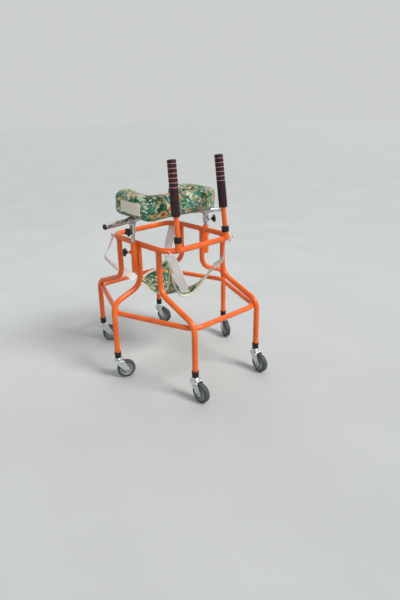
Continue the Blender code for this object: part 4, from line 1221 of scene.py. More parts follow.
@dataclass
class HandleSocket:
    """Leaning socket on the front bar that holds a handle."""

    side: Side
    x: float = 0.1208
    y: float = -0.1953
    bar_y: float = -0.191
    lean_back: float = math.radians(6.3)
    lean_in: float = math.radians(1.4)
    outer: float = 0.0127
    bore: float = 0.0099
    height: float = 0.0480
    floor: float = 0.0140

    def matrix(self) -> Matrix:
        """Axis frame: origin at the bar's level, Z up the handle."""
        lean = (-self.side.value * math.tan(self.lean_in), math.tan(self.lean_back), 1.0)
        return axis_frame((self.side.value * self.x, self.y, RING_HEIGHT), lean)

    def add_to(self, shell: Shell) -> None:
        """Add the socket and its welds to the ring's shell.

        The weld's line is where the socket meets the bar: dy = R sin a + offset and
        z = sqrt(r^2 - dy^2), for angles a about the bar's two directions.

        Args:
            shell: Shell of the ring.
        """
        corners = [(self.outer - 0.0012, 0.0), (self.outer, 0.0), (self.outer, self.height)]
        corners += [(self.bore, self.height), (self.bore, self.floor)]
        radii = [0.0, 0.001, 0.0006, 0.0006, 0.0]
        shell.turn(corners, radii, 4, 40, self.matrix(), closed=False)
        for start in (0.0, math.pi):
            angle = start + np.linspace(-0.62, 0.62, 40)
            away = self.outer * np.sin(angle) + self.y - self.bar_y
            rise = np.sqrt(np.maximum(RING_RADIUS**2 - away**2, 0.0))
            x = self.side.value * self.x + self.outer * np.cos(angle)
            path = np.stack([x, self.bar_y + away, RING_HEIGHT + rise], axis=-1)
            out = np.stack([np.cos(angle), np.sin(angle), 0.6 + 0.0 * angle], axis=-1)
            shell.bead(path, out, 0.0020, 0.16, 1.1)


# Casters


@dataclass
class Caster:
    """Ferrule, stem with bearing dome, pressed fork, axle and wheel under one leg."""

    finishes: Finishes
    line: LegLine
    wheel_radius: float = 0.0375
    trail: float = 0.030
    tyre_width: float = 0.022
    crown: float = 0.0790
    crown_radius: float = 0.0175
    crown_back: float = 0.0165
    crown_rise: float = 0.006
    cheek: float = 0.01455
    cheek_bend: float = 0.0040
    wall: float = 0.0025
    boss: float = 0.0090
    front: float = 0.0150
    front_corner: float = 0.0745
    back: float = 0.0204
    top: float = 0.0805
    ferrule_bottom: float = 0.0931
    ferrule_height: float = 0.0250
    ferrule_radius: float = 0.0136
    ferrule_floor: float = 0.003
    stem_hole: float = 0.0060
    leg_radius: float = 0.0113
    hub_half: float = 0.0120
    rib_count: float = 6.0
    rib_height: float = 0.0020

    def _stand(self) -> Matrix:
        """Upright frame at the foot."""
        return Matrix.Translation((*self.line.foot, 0.0))

    def _swivel(self) -> Matrix:
        """Frame of the fork, X towards the trailing wheel."""
        return self._stand() @ Matrix.Rotation(math.radians(self.line.heading), 4, "Z")

    def _axle(self) -> Matrix:
        """Frame of the axle, Z along it."""
        place = Matrix.Translation((self.trail, 0.0, self.wheel_radius))
        return self._swivel() @ place @ Matrix.Rotation(math.radians(-90.0), 4, "X")

    def _build_ferrule(self) -> None:
        """Black cap on the leg's end: rounded foot, slight taper and a rolled lip."""
        low, high = self.ferrule_bottom, self.ferrule_bottom + self.ferrule_height
        r, floor = self.ferrule_radius, low + self.ferrule_floor
        corners = [(self.stem_hole, low), (r - 0.0006, low), (r - 0.0005, high - 0.0042)]
        corners += [(r, high - 0.0036), (r, high), (self.leg_radius, high)]
        corners += [(self.leg_radius, floor), (self.stem_hole, floor)]
        radii = [0.0, 0.0016, 0.0004, 0.0004, 0.0007, 0.0003, 0.0, 0.0]
        shell = Shell().turn(corners, radii, 5, 44, self._stand())
        piece = shell.piece(f"foot_cap_{self.line.name}", [self.finishes.black])
        settle(piece, "frame", [f"ferrule_{self.line.name}"])

    def _build_stem(self) -> None:
        """Riveted pin under the crown, two-step dome and stem, from corners (r, z, radius)."""
        corners = [
            (0.0050, 0.0737, 0.0), (0.0088, 0.0740, 0.001), (0.0095, 0.0770, 0.0004),
            (0.0058, 0.0772, 0.0), (0.0058, 0.0809, 0.0), (0.0182, 0.0809, 0.0004),
            (0.0188, 0.0822, 0.0008), (0.0184, 0.0850, 0.0016), (0.0132, 0.0872, 0.0012),
            (0.0126, 0.0898, 0.0010), (0.0100, 0.0927, 0.0014), (0.0056, 0.0929, 0.0),
            (0.0055, 0.1226, 0.0),
        ]
        places, radii = [corner[:2] for corner in corners], [corner[2] for corner in corners]
        shell = Shell().turn(places, radii, 6, 52, self._stand(), closed=False)
        piece = shell.piece(f"bearing_{self.line.name}", [self.finishes.zinc], 50.0)
        settle(piece, "frame", [f"caster_{self.line.name}_stem"])

    def _tangent(self, corner: Array, sign: float) -> Array:
        """Point where a line from a corner touches the axle boss.

        With distance d and bearing b to the boss's centre, the line leaves at b + sign asin(r/d) and
        touches after sqrt(d^2 - r^2).

        Args:
            corner: Corner (x, z) of the cheek.
            sign: Side of the boss that the line touches.

        Returns:
            The point (x, z).
        """
        gap = np.array([self.trail, self.wheel_radius]) - corner
        distance = float(np.linalg.norm(gap))
        bearing = math.atan2(gap[1], gap[0]) + sign * math.asin(self.boss / distance)
        reach = math.sqrt(distance**2 - self.boss**2)
        return corner + reach * np.array([math.cos(bearing), math.sin(bearing)])

    def _edges(self, height: Array) -> tuple[Array, Array]:
        """Front and back edge of a cheek: the boss's circle, then straight lines.

        Args:
            height: Heights above the floor.

        Returns:
            The x of the front edge and of the back edge at each height.
        """
        half = np.sqrt(np.clip(self.boss**2 - (height - self.wheel_radius) ** 2, 0.0, None))
        edges = []
        for x, z, sign in ((-self.front, self.front_corner, -1.0), (self.back, self.top, 1.0)):
            low = self._tangent(np.array([x, z]), sign)
            line = np.interp(height, [low[1], z], [low[0], x])
            edges.append(np.where(height < low[1], self.trail + sign * half, line))
        return edges[0], edges[1]

    def _fork_grid(self) -> Array:
        """Pressed fork: a U section up one cheek, over the crown and down the other.

        Each row runs from the front edge to the back edge; on the crown the edges follow its circle.
        Round the axle the cheek is dished outwards by 0.6 mm exp(-(d / 7.5 mm)^4).

        Returns:
            Grid of the fork's middle surface.
        """
        low = self.wheel_radius - self.boss + 0.00015
        bend_start = self.crown - self.crown_rise
        ease = 1.0 - np.cos(np.linspace(0.0, math.pi / 2.0, 26))
        rise = low + (bend_start - low) * ease
        arch = [(-self.cheek, bend_start), (-self.cheek, self.crown), (self.cheek, self.crown)]
        arch.append((self.cheek, bend_start))
        bend = rounded_line(arch, [0.0, self.cheek_bend, self.cheek_bend, 0.0], 7)
        flat = np.linspace(bend[8, 0], bend[9, 0], 11)
        top = np.stack([flat, np.full(11, self.crown)], axis=-1)[1:-1]
        left = np.stack([np.full(26, -self.cheek), rise], axis=-1)[:-1]
        right = (left * (-1.0, 1.0))[::-1]
        line = np.concatenate([left, bend[:9], top, bend[9:], right])
        front, back = self._edges(line[:, 1])
        over = np.clip((self.cheek - np.abs(line[:, 0])) / self.cheek_bend, 0.0, 1.0)
        round_edge = np.sqrt(np.clip(self.crown_radius**2 - line[:, 0] ** 2, 0.0, None))
        front = front * (1.0 - over) - np.maximum(round_edge, self.front) * over
        back = back * (1.0 - over) + np.maximum(round_edge, self.crown_back) * over
        x = front[:, None] + (back - front)[:, None] * np.linspace(0.0, 1.0, 18)
        y = np.broadcast_to(line[:, :1], x.shape).copy()
        z = np.broadcast_to(line[:, 1:], x.shape)
        away = np.hypot(x - self.trail, z - self.wheel_radius)
        y += np.sign(y) * 0.0006 * np.exp(-((away / 0.0075) ** 4)) * (z < 0.06)
        return np.stack([x, y, z], axis=-1)

    def _bolt_end(self, start: float, length: float, radius: float, sides: int) -> Array:
        """Bolt head, nut or washer along Z, with chamfered corners.

        Args:
            start: Height of its lower face.
            length: Its thickness.
            radius: Radius of its outline.
            sides: Sides of its outline; 6 makes a hexagon with rounded corners.

        Returns:
            Grid of the piece.
        """
        outline = circle(radius, sides)
        if sides == 6:
            outline = rounded_line(outline, [0.0009] * 6, 4, closed=True)
        end = start + length
        rows = [(0.86, start), (1.0, start + 0.0005), (1.0, end - 0.0006), (0.84, end)]
        return raised(outline, rows)

    def _build_fork(self) -> None:
        """Fork with the axle bolt, its head, its nut and both washers."""
        axle, name = self._axle(), self.line.name
        shell = Shell().add_sheet(self._fork_grid(), self.wall, self._swivel())
        face = self.cheek + self.wall / 2.0 + 0.0004
        washer = self._bolt_end(face, 0.0008, 0.0062, 32)
        head = self._bolt_end(face + 0.0008, 0.0028, 0.0058, 6)
        for end, slot in ((washer, 0), (head, 1)):
            for turned in (axle, axle @ Matrix.Rotation(math.pi, 4, "X")):
                shell.add(end, turned, slot=slot)
        shell.add(self._bolt_end(face + 0.0030, 0.0012, 0.0030, 20), axle, slot=1)
        reach = self.cheek - self.wall / 2.0 - 0.0002 + 0.002
        shell.add(raised(circle(0.0040, 24), [(1.0, -reach), (1.0, reach)]), axle, slot=1)
        piece = shell.piece(f"fork_pressing_{name}", [self.finishes.zinc, self.finishes.steel], 50.0)
        settle(piece, f"fork_{name}", [f"caster_{name}_fork"])

    def _build_hub(self) -> None:
        """Ribbed hub with bearing covers.

        The hub's web is thicker over its ribs: z grows by the rib's height times max(0, cos 6a)^3.
        """
        rim = self.tyre_width / 2.0 - 0.0004
        upper = [(0.0044, self.hub_half), (0.0068, self.hub_half), (0.0086, self.hub_half - 0.0012)]
        upper += [(0.0090, 0.0046), (0.0120, 0.0034), (0.0215, 0.0034), (0.0238, 0.0048)]
        upper += [(0.0246, rim), (0.0270, rim)]
        radii = [0.0, 0.0004, 0.0008, 0.0008, 0.001, 0.001, 0.0008, 0.0004, 0.0003]
        corners = [(radius, -height) for radius, height in upper] + upper[::-1]
        grid = revolve(rounded_line(corners, radii + radii[::-1], 4, closed=True), 144)
        angle = np.arctan2(grid[..., 1], grid[..., 0])
        reach = np.hypot(grid[..., 0], grid[..., 1])
        web = np.clip((reach - 0.0092) / 0.003, 0.0, 1.0)
        web *= np.clip((0.0238 - reach) / 0.002, 0.0, 1.0)
        rib = np.clip(np.cos(self.rib_count * angle), 0.0, 1.0) ** 3
        grid[..., 2] += np.sign(grid[..., 2]) * self.rib_height * rib * web
        shell = Shell().add(grid, self._axle(), loop=True)
        piece = shell.piece(f"wheel_hub_{self.line.name}", [self.finishes.hub], 50.0)
        settle(piece, f"wheel_{self.line.name}", [f"caster_{self.line.name}_hub"])

    def _build_tyre(self) -> None:
        """Tyre with a slightly crowned tread."""
        half, outer = self.tyre_width / 2.0, self.wheel_radius
        flank = [(0.0274, half - 0.0003), (0.0318, half), (0.0352, half - 0.0012)]
        flank.append((outer - 0.0002, half - 0.0055))
        radii = [0.0003, 0.0015, 0.0020, 0.0030]
        corners = [(radius, -height) for radius, height in flank] + [(outer, 0.0)] + flank[::-1]
        shell = Shell().turn(corners, radii + [0.0] + radii[::-1], 5, 96, self._axle())
        piece = shell.piece(f"wheel_tyre_{self.line.name}", [self.finishes.tyre], 50.0)
        settle(piece, f"wheel_{self.line.name}", [f"caster_{self.line.name}_tyre"])

    def build(self) -> None:
        """Make the caster's pieces."""
        self._build_ferrule()
        self._build_stem()
        self._build_fork()
        self._build_hub()
        self._build_tyre()


# Handles


@dataclass
class Handle:
    """Collar on the socket, tube and ribbed grip of one handle."""

    finishes: Finishes
    socket: HandleSocket
    tube_radius: float = 0.0095
    collar_radius: float = 0.0150
    collar_length: float = 0.0220
    collar_bore: float = 0.0130
    collar_over: float = 0.0025
    grip_start: float = 0.1243
    grip_length: float = 0.1985
    grip_radius: float = 0.0165
    ring_count: int = 6
    ring_pitch: float = 0.0164
    first_ring: float = 0.0145
    groove_half: float = 0.0019
    groove_depth: float = 0.0011
    ridge: float = 0.0005
    flute_count: int = 22
    flute_depth: float = 0.00022

    def _build_collar(self) -> None:
        """Black collar over the socket's end, with a rounded lip."""
        top, seat = self.socket.height + self.collar_over, self.socket.height + 0.0003
        low, outer, inner = top - self.collar_length, self.collar_radius, self.collar_bore
        corners = [(inner, low), (outer - 0.0003, low), (outer, top - 0.0040), (outer, top)]
        corners += [(self.socket.bore, top), (self.socket.bore, seat), (inner, seat)]
        radii = [0.0, 0.0008, 0.0, 0.0009, 0.0003, 0.0, 0.0]
        label = self.socket.side.label
        shell = Shell().turn(corners, radii, 5, 44, self.socket.matrix())
        piece = shell.piece(f"collar_{label}", [self.finishes.black])
        settle(piece, "frame", [f"handle_collar_{label}"])

    def _grip_profile(self) -> tuple[Array, Array]:
        """Profile of the grip from its foot to its domed top.

        Between two grooves the radius swells by 0.5 mm sin(pi s). A groove is a dip whose raised
        middle carries the rose ring.

        Returns:
            The profile (r, z), and a slot for each band between its points: 1 on a rose ring.
        """
        radius = self.grip_radius
        low, body = radius - self.groove_depth, radius - self.ridge
        start, top, half = self.grip_start, self.grip_start + self.grip_length, self.groove_half
        centres = top - self.first_ring - self.ring_pitch * np.arange(self.ring_count)[::-1]
        foot = [(self.tube_radius + 0.0004, start), (radius - 0.0016, start)]
        foot += [(radius - 0.0003, start + 0.0012), (radius, start + 0.0030)]
        foot += [(radius, z) for z in np.linspace(start + 0.006, centres[0] - half - 0.0010, 12)]
        groove = [(body, -half), (low, 0.0004 - half), (low + 0.0004, -0.0010), (low + 0.0006, 0.0)]
        groove += [(low + 0.0004, 0.0010), (low, half - 0.0004), (body, half)]
        share = np.linspace(0.12, 0.88, 6)
        climb = half + (self.ring_pitch - 2.0 * half) * share
        ridge = np.stack([body + self.ridge * np.sin(math.pi * share), climb], axis=-1)
        wave = np.concatenate([groove, ridge])
        rings = np.concatenate([wave + (0.0, centre) for centre in centres])[: -len(ridge)]
        turn = np.linspace(0.0, math.pi / 2.0, 8)[1:]
        dome = [radius - 0.0055 + 0.0055 * np.cos(turn), top - 0.0055 + 0.0048 * np.sin(turn)]
        neck = [(radius - 0.0001, centres[-1] + half + 0.0010), (radius, top - 0.0058)]
        end = [(0.0040, top - 0.0001)]
        profile = np.concatenate([foot, rings, neck, np.stack(dome, axis=-1), end])
        bands = np.zeros(len(profile) - 1, int)
        first = len(foot) + len(wave) * np.arange(self.ring_count)
        bands[first + 2] = bands[first + 3] = 1
        return profile, bands

    def _build_grip(self) -> None:
        """Grip with shallow flutes on its plain half: r falls by d max(0, cos n a)."""
        profile, bands = self._grip_profile()
        grid = revolve(profile, 132)
        last = self.first_ring + self.ring_pitch * (self.ring_count - 1.0)
        plain_top = self.grip_start + self.grip_length - last
        share = np.clip((plain_top - 0.004 - profile[:, 1]) / 0.006, 0.0, 1.0)
        share *= np.clip((profile[:, 1] - self.grip_start - 0.002) / 0.004, 0.0, 1.0)
        flute = np.clip(np.cos(self.flute_count * angles(132)), 0.0, 1.0)
        dip = self.flute_depth * share[:, None] * flute
        grid[..., :2] *= (1.0 - dip / self.grip_radius)[..., None]
        label = self.socket.side.label
        shell = Shell().add(grid, self.socket.matrix(), slot=bands)
        piece = shell.piece(f"hand_grip_{label}", [self.finishes.grip, self.finishes.ring], 55.0)
        settle(piece, f"handle_{label}", [f"grip_{label}"])

    def _build_tube(self) -> None:
        """Painted tube that slides in the socket."""
        low = self.socket.floor + 0.0005
        top = self.grip_start + self.grip_length - 0.0083
        r, label = self.tube_radius, self.socket.side.label
        corners = [(r - 0.002, low), (r, low), (r, top), (r - 0.002, top)]
        radii = [0.0, 0.0006, 0.0006, 0.0]
        shell = Shell().turn(corners, radii, 3, 36, self.socket.matrix(), closed=False)
        piece = shell.piece(f"handle_rod_{label}", [self.finishes.paint])
        settle(piece, f"handle_{label}", [f"handle_tube_{label}"])

    def build(self) -> None:
        """Make the handle's pieces."""
        self._build_collar()
        self._build_tube()
        self._build_grip()


# Trunk support


@dataclass
class StarKnob:
    """Five-lobed knob on a screw, in a frame whose Z runs out along the screw."""

    lobes: int = 5
    radius: float = 0.0140
    lobe: float = 0.0026
    thickness: float = 0.0110
    neck: float = 0.0070
    neck_length: float = 0.0060
    screw: float = 0.0030
    screw_start: float = 0.0084
    thread: float = 0.0004
    boss_length: float = 0.0070
    shown: float = 0.0060
    pitch: float = 0.00125

    def build(
        self, name: str, matrix: Matrix, sleeve: float, finishes: Finishes
    ) -> bpy.types.Object:
        """Make the knob.

        The head's outline is r = R + d cos 5a. The screw's radius ripples with its pitch.

        Args:
            name: Name of the piece.
            matrix: Frame at the post's axis.
            sleeve: Outer radius of the sleeve that the screw goes through.
            finishes: The materials.

        Returns:
            The piece.
        """
        start = sleeve + self.boss_length + self.shown
        head = start + self.neck_length
        end = head + self.thickness
        reach = self.radius + self.lobe * np.cos(self.lobes * angles(120))
        steps = [
            (0.52, head + 0.0002), (0.84, head), (0.95, head + 0.0006), (1.0, head + 0.0026),
            (1.0, end - 0.0036), (0.965, end - 0.0014), (0.88, end - 0.0003), (0.62, end),
            (0.50, end - 0.0001), (0.44, end - 0.0009), (0.10, end - 0.0010),
        ]
        shell = Shell().add(raised(reach[:, None] * circle(1.0, 120), steps), matrix)
        neck = self.neck
        corners = [(neck - 0.0012, start), (neck, start), (neck - 0.0006, head + 0.003)]
        shell.turn(corners, [0.0, 0.0006, 0.0], 4, 36, matrix, closed=False)
        height = np.linspace(self.screw_start, start + 0.002, 110)
        wave = 0.5 + 0.5 * np.cos(height * FULL_TURN / self.pitch)
        profile = np.stack([self.screw - self.thread * wave, height], axis=-1)
        shell.add(revolve(profile, 20), matrix, slot=1)
        return shell.piece(name, [finishes.black, finishes.steel], 42.0)


@dataclass
class TrunkSupport:
    """Posts in their sockets, clamps, cross bars and star knobs that carry the trunk pad."""

    finishes: Finishes
    post_radius: float = 0.0080
    post_bottom: float = 0.440
    socket_bore: float = 0.0084
    socket_bottom: float = 0.430
    socket_top: float = 0.552
    socket_knob_height: float = 0.510
    socket_knob_angle: float = math.radians(135.0)
    socket_weld_x: float = 0.1764
    socket_weld_y: float = 0.0070
    socket_welds: tuple[tuple[float, float], ...] = ((0.4315, 0.4560), (0.5000, 0.5230))
    tilt: float = math.radians(3.0)
    pad_bottom: float = 0.637
    bar_radius: float = 0.0100
    bar_inner: float = 0.0084
    bar_yaw: float = math.radians(20.0)
    inner_reach: float = 0.062
    outer_reach: dict[Side, float] = field(
        default_factory=lambda: {Side.RIGHT: 0.156, Side.LEFT: 0.064}
    )
    plug_head: float = 0.0060
    plug_shown: float = 0.0022
    plug_length: float = 0.016
    sleeve_outer: float = 0.0122
    sleeve_length: float = 0.050
    saddle_radius: float = 0.01225
    saddle_wall: float = 0.0037
    cross_half: float = 0.0170
    clamp_knob_below: float = 0.0385
    clamp_knob_angle: float = math.radians(211.0)
    boss_radius: float = 0.0068
    boss_length: float = 0.0070
    boss_bore: float = 0.0034

    def support_matrix(self) -> Matrix:
        """Frame of the pad: its origin is under the pad, in its middle."""
        turn = Matrix.Rotation(self.tilt, 4, "Y")
        return Matrix.Translation((0.0, 0.0, self.pad_bottom)) @ turn

    def _post_frame(self, side: Side) -> Matrix:
        """Upright frame on the post's axis."""
        return Matrix.Translation((side.value * POST_X, POST_Y, 0.0))

    def _bar_centre(self, side: Side) -> Vector:
        """Where the bar crosses its post's axis."""
        x, below = side.value * POST_X, -(self.bar_radius + 0.0003) / math.cos(self.tilt)
        return Vector((x, POST_Y, self.pad_bottom - math.tan(self.tilt) * x + below))

    def _bar_frame(self, side: Side) -> Matrix:
        """Frame of a bar.

        Args:
            side: The bar's side.

        Returns:
            Matrix with Z outwards along the bar and Y upwards across it.
        """
        outward = Vector((side.value * math.cos(self.bar_yaw), -math.sin(self.bar_yaw), 0.0))
        tilt = Matrix.Rotation(self.tilt, 3, "Y")
        outward.rotate(tilt)
        up = tilt @ Vector((0.0, 0.0, 1.0))
        turn = Matrix((up.cross(outward), up, outward)).transposed().to_4x4()
        return Matrix.Translation(self._bar_centre(side)) @ turn

    def _knob_frame(self, side: Side, height: float, angle: float) -> Matrix:
        """Frame of a knob's screw, at the post's axis."""
        direction = (-side.value * math.cos(angle), math.sin(angle), 0.0)
        return axis_frame((side.value * POST_X, POST_Y, height), direction)

    def _add_boss(self, shell: Shell, sleeve: float, knob: Matrix) -> None:
        """Add the short round boss of a screw, with a rounded rim.

        Args:
            shell: Shell of the sleeve.
            sleeve: Outer radius of the sleeve.
            knob: Frame of the screw.
        """
        end, r = sleeve + self.boss_length, self.boss_radius
        corners = [(r, self.post_radius + 0.0012), (r, end)]
        corners += [(self.boss_bore, end), (self.boss_bore, end - 0.004)]
        shell.turn(corners, [0.0, 0.0009, 0.0003, 0.0], 5, 32, knob, closed=False)

    def _build_socket(self, side: Side) -> None:
        """Painted socket tube with its boss and its knob, and the beads that hold it to the leg.

        Args:
            side: Side of the socket.
        """
        low, high, outer = self.socket_bottom, self.socket_top, POST_SOCKET_RADIUS
        corners = [(self.socket_bore, low), (outer, low), (outer, high), (self.socket_bore, high)]
        shell = Shell().turn(corners, [0.0007] * 4, 4, 40, self._post_frame(side))
        knob = self._knob_frame(side, self.socket_knob_height, self.socket_knob_angle)
        self._add_boss(shell, outer, knob)
        for sign in (-1.0, 1.0):
            for start, end in self.socket_welds:
                z = np.linspace(start, end, 30)
                x = np.full(30, side.value * self.socket_weld_x)
                y = np.full(30, POST_Y + sign * self.socket_weld_y)
                shell.bead(np.stack([x, y, z], axis=-1), (1.0, 0.0, 0.0), 0.0021, 0.16, 1.3)
        piece = shell.piece(f"socket_tube_{side.label}", [self.finishes.paint])
        settle(piece, "frame", [f"post_socket_{side.label}"])
        piece = StarKnob().build(f"lock_knob_low_{side.label}", knob, outer, self.finishes)
        name = f"socket_knob_{side.label}"
        settle(piece, name, [name])

    def _build_post(self, side: Side) -> None:
        """Chrome post with rounded ends.

        Args:
            side: Side of the post.
        """
        top = self._bar_centre(side).z - self.bar_radius - 0.0012
        r, low = self.post_radius, self.post_bottom
        corners = [(r - 0.002, low), (r, low), (r, top), (r - 0.002, top)]
        radii = [0.0, 0.001, 0.0006, 0.0]
        shell = Shell().turn(corners, radii, 4, 40, self._post_frame(side), closed=False)
        piece = shell.piece(f"chrome_post_{side.label}", [self.finishes.chrome])
        settle(piece, "trunk_support", [f"post_{side.label}"])

    def _build_bar(self, side: Side) -> None:
        """Chrome cross bar: an open tube inwards, with a dark plug in its outer end.

        Args:
            side: Side of the bar.
        """
        end = self.outer_reach[side] + self.plug_head
        tube_end, start = end - self.plug_shown, -self.inner_reach
        inner, outer, frame = self.bar_inner, self.bar_radius, self._bar_frame(side)
        corners = [(inner, start), (outer, start), (outer, tube_end), (inner, tube_end)]
        shell = Shell().turn(corners, [0.0004] * 4, 3, 44, frame)
        corners = [(inner - 0.0003, tube_end - self.plug_length), (inner - 0.0003, tube_end)]
        corners += [(outer, tube_end + 0.0001), (outer, end), (0.0050, end + 0.0001)]
        shell.turn(corners, [0.0, 0.0, 0.0003, 0.0012, 0.0], 5, 44, frame, closed=False, slot=1)
        finishes = [self.finishes.chrome, self.finishes.plug]
        piece = shell.piece(f"chrome_bar_{side.label}", finishes)
        settle(piece, "trunk_support", [f"cross_bar_{side.label}"])

    def _saddle(self) -> Array:
        """Open sleeve round the bar: an arc that leaves out the top, carried along the bar.

        Returns:
            Grid of the saddle's middle surface.
        """
        angle = np.linspace(math.radians(137.0), math.radians(403.0), 40)
        arc = self.saddle_radius * np.stack([np.cos(angle), np.sin(angle)], axis=-1)
        along = np.linspace(-self.cross_half, self.cross_half, 16)
        flare = 1.0 - 0.03 * (np.abs(along) / self.cross_half) ** 6
        return raised(arc, np.stack([flare, along], axis=-1))

    def _build_clamp(self, side: Side) -> None:
        """Chrome clamp: sleeve on the post, open saddle round the bar, the screw's boss and knob.

        The fillet under the saddle rises and falls twice round the post, as 3.4 mm cos 2t.

        Args:
            side: Side of the clamp.
        """
        centre, outer = self._bar_centre(side).z, self.sleeve_outer
        low, bore = centre - self.sleeve_length, self.post_radius + 0.0004
        corners = [(bore, low), (outer, low), (outer, centre - 0.0098), (bore, centre - 0.0110)]
        shell = Shell().turn(corners, [0.0004, 0.0010, 0.0, 0.0], 5, 44, self._post_frame(side))
        shell.add_sheet(self._saddle(), self.saddle_wall, self._bar_frame(side))
        knob = self._knob_frame(side, centre - self.clamp_knob_below, self.clamp_knob_angle)
        self._add_boss(shell, outer, knob)
        height = centre - 0.0118 + 0.0034 * np.cos(2.0 * angles(60))
        fillet = carried(hoop(0.0121, 0.0121, height, 60), self._post_frame(side))
        shell.add(sweep(fillet, circle(0.0012, 8), UP, closed=True), loop=True)
        piece = shell.piece(f"bar_clamp_{side.label}", [self.finishes.chrome], 50.0)
        settle(piece, "trunk_support", [f"clamp_{side.label}"])
        piece = StarKnob().build(f"lock_knob_high_{side.label}", knob, outer, self.finishes)
        name = f"clamp_knob_{side.label}"
        settle(piece, name, [name])

    def build(self) -> None:
        """Make both sides."""
        for side in Side:
            self._build_socket(side)
            self._build_post(side)
            self._build_bar(side)
            self._build_clamp(side)


# Trunk pad


@dataclass
class TrunkPad:
    """Stuffed C-shaped pad in printed cotton, with a hook-and-loop patch on its right arm."""

    finishes: Finishes
    support: Matrix
    half_width: float = 0.176
    half_length: float = 0.097
    centre_y: float = 0.0228
    squareness: float = 4.6
    skew: float = 0.10
    half_sweep: float = 2.82
    height: float = 0.090
    thickness: float = 0.070
    crown: float = 0.0045
    shrink: float = 0.0030
    section_power: float = 0.42
    end_length: float = 0.020
    end_share: float = 0.62
    cap: float = 0.0060
    voxel: float = 0.0046
    frames: int = 20
    seam_width: float = 0.0013
    seam_depth: float = 0.0010
    droop: float = 0.0120
    droop_place: tuple[float, float] = (-0.172, -0.104)
    droop_reach: tuple[float, float] = (0.055, 0.045)
    patch_y: tuple[float, float] = (-0.0760, 0.0320)
    patch_z: tuple[float, float] = (0.0160, 0.0620)
    patch_rows: int = 26
    patch_columns: int = 42
    patch_lean: float = 0.035
    patch_wall: float = 0.0013

    def _stations(self, count: int) -> tuple[Array, Array, Array]:
        """Evenly spaced points of the plan curve.

        The curve is x = a S(sin t), y = c - b S(cos t) + skew x, with S(v) = sign(v) |v|^(2 / n).

        Args:
            count: Number of points.

        Returns:
            The points, their outward directions and their arc lengths.
        """
        angle = np.linspace(-self.half_sweep, self.half_sweep, 4001)
        power = 2.0 / self.squareness
        x = self.half_width * signed_power(np.sin(angle), power)
        y = self.centre_y - self.half_length * signed_power(np.cos(angle), power) + self.skew * x
        fine = np.stack([x, y], axis=-1)
        steps = np.linalg.norm(np.diff(fine, axis=0), axis=1)
        length = np.concatenate([[0.0], np.cumsum(steps)])
        place = np.linspace(0.0, length[-1], count)
        points = np.stack([np.interp(place, length, fine[:, axis]) for axis in range(2)], axis=-1)
        ahead = unit(np.gradient(points, axis=0))
        return points, np.stack([ahead[:, 1], -ahead[:, 0]], axis=-1), place

    def _start_grid(self) -> Array:
        """Slightly slack shape: a rounded-square section whose ends are drawn in.

        Section: (a S(cos), b S(sin)), S(v) = sign(v) |v|^0.42. Within the last e of an end it is
        scaled by 1 - 0.62 (1 - d/e)^2.6, for a distance d from the end.

        Returns:
            Grid of the shape.
        """
        points, outward, place = self._stations(150)
        wide = signed_power(np.cos(angles(64)), self.section_power)
        high = signed_power(np.sin(angles(64)), self.section_power)
        half_thick = self.thickness / 2.0 - self.shrink + self.crown * 0.5
        half_high = self.height / 2.0 - self.shrink
        away = np.clip(np.minimum(place, place[-1] - place) / self.end_length, 0.0, 1.0)
        scale = (1.0 - (1.0 - away) ** 2.6 * self.end_share)[:, None]
        offset = half_thick * wide[None] * scale
        flat = points[:, None] + outward[:, None] * offset[..., None]
        up = self.height / 2.0 + half_high * high[None] * scale
        return np.concatenate([flat, up[..., None]], axis=-1)

    def _inflate(self, item: bpy.types.Object) -> None:
        """Swell the slack cover by pressure, with each point's way capped, and keep the result.

        Args:
            item: The cover.
        """
        scene, mesh = bpy.context.scene, item.data
        before = read_points(mesh)
        cloth = item.modifiers.new("swell", "CLOTH")
        options = {
            "quality": 4, "mass": 0.25, "tension_stiffness": 12.0, "compression_stiffness": 12.0,
            "shear_stiffness": 6.0, "bending_stiffness": 0.6, "use_pressure": True,
            "uniform_pressure_force": 4.0,
        }
        for key, value in options.items():
            setattr(cloth.settings, key, value)
        cloth.settings.effector_weights.gravity = 0.0
        cloth.collision_settings.use_collision = False
        cloth.point_cache.frame_start = 1
        cloth.point_cache.frame_end = self.frames
        for frame in range(1, self.frames + 1):
            scene.frame_set(frame)
        shown = item.evaluated_get(bpy.context.evaluated_depsgraph_get())
        way = read_points(shown.data) - before
        item.modifiers.remove(cloth)
        scene.frame_set(1)
        length = np.linalg.norm(way, axis=1, keepdims=True)
        way *= np.minimum(1.0, self.cap / np.maximum(length, 1e-9))
        mesh.vertices.foreach_set("co", (before + way).ravel())
        mesh.update()
        LOG.info("trunk pad swelled by up to %.1f mm", 1000.0 * float(length.max()))

    def _cover_coordinates(self, points: Array) -> tuple[Array, Array, Array]:
        """Coordinates of points along the pad, from the nearest station.

        Args:
            points: Points of the cover, in the pad's frame.

        Returns:
            Arc length, outward offset, and height above the pad's middle.
        """
        stations, outward, place = self._stations(300)
        gap = points[:, None, :2] - stations[None]
        nearest = np.argmin((gap**2).sum(axis=2), axis=1)
        gap = points[:, :2] - stations[nearest]
        normal = outward[nearest]
        ahead = np.stack([-normal[:, 1], normal[:, 0]], axis=-1)
        along = place[nearest] + (gap * ahead).sum(axis=1)
        return along, (gap * normal).sum(axis=1), points[:, 2] - self.height / 2.0

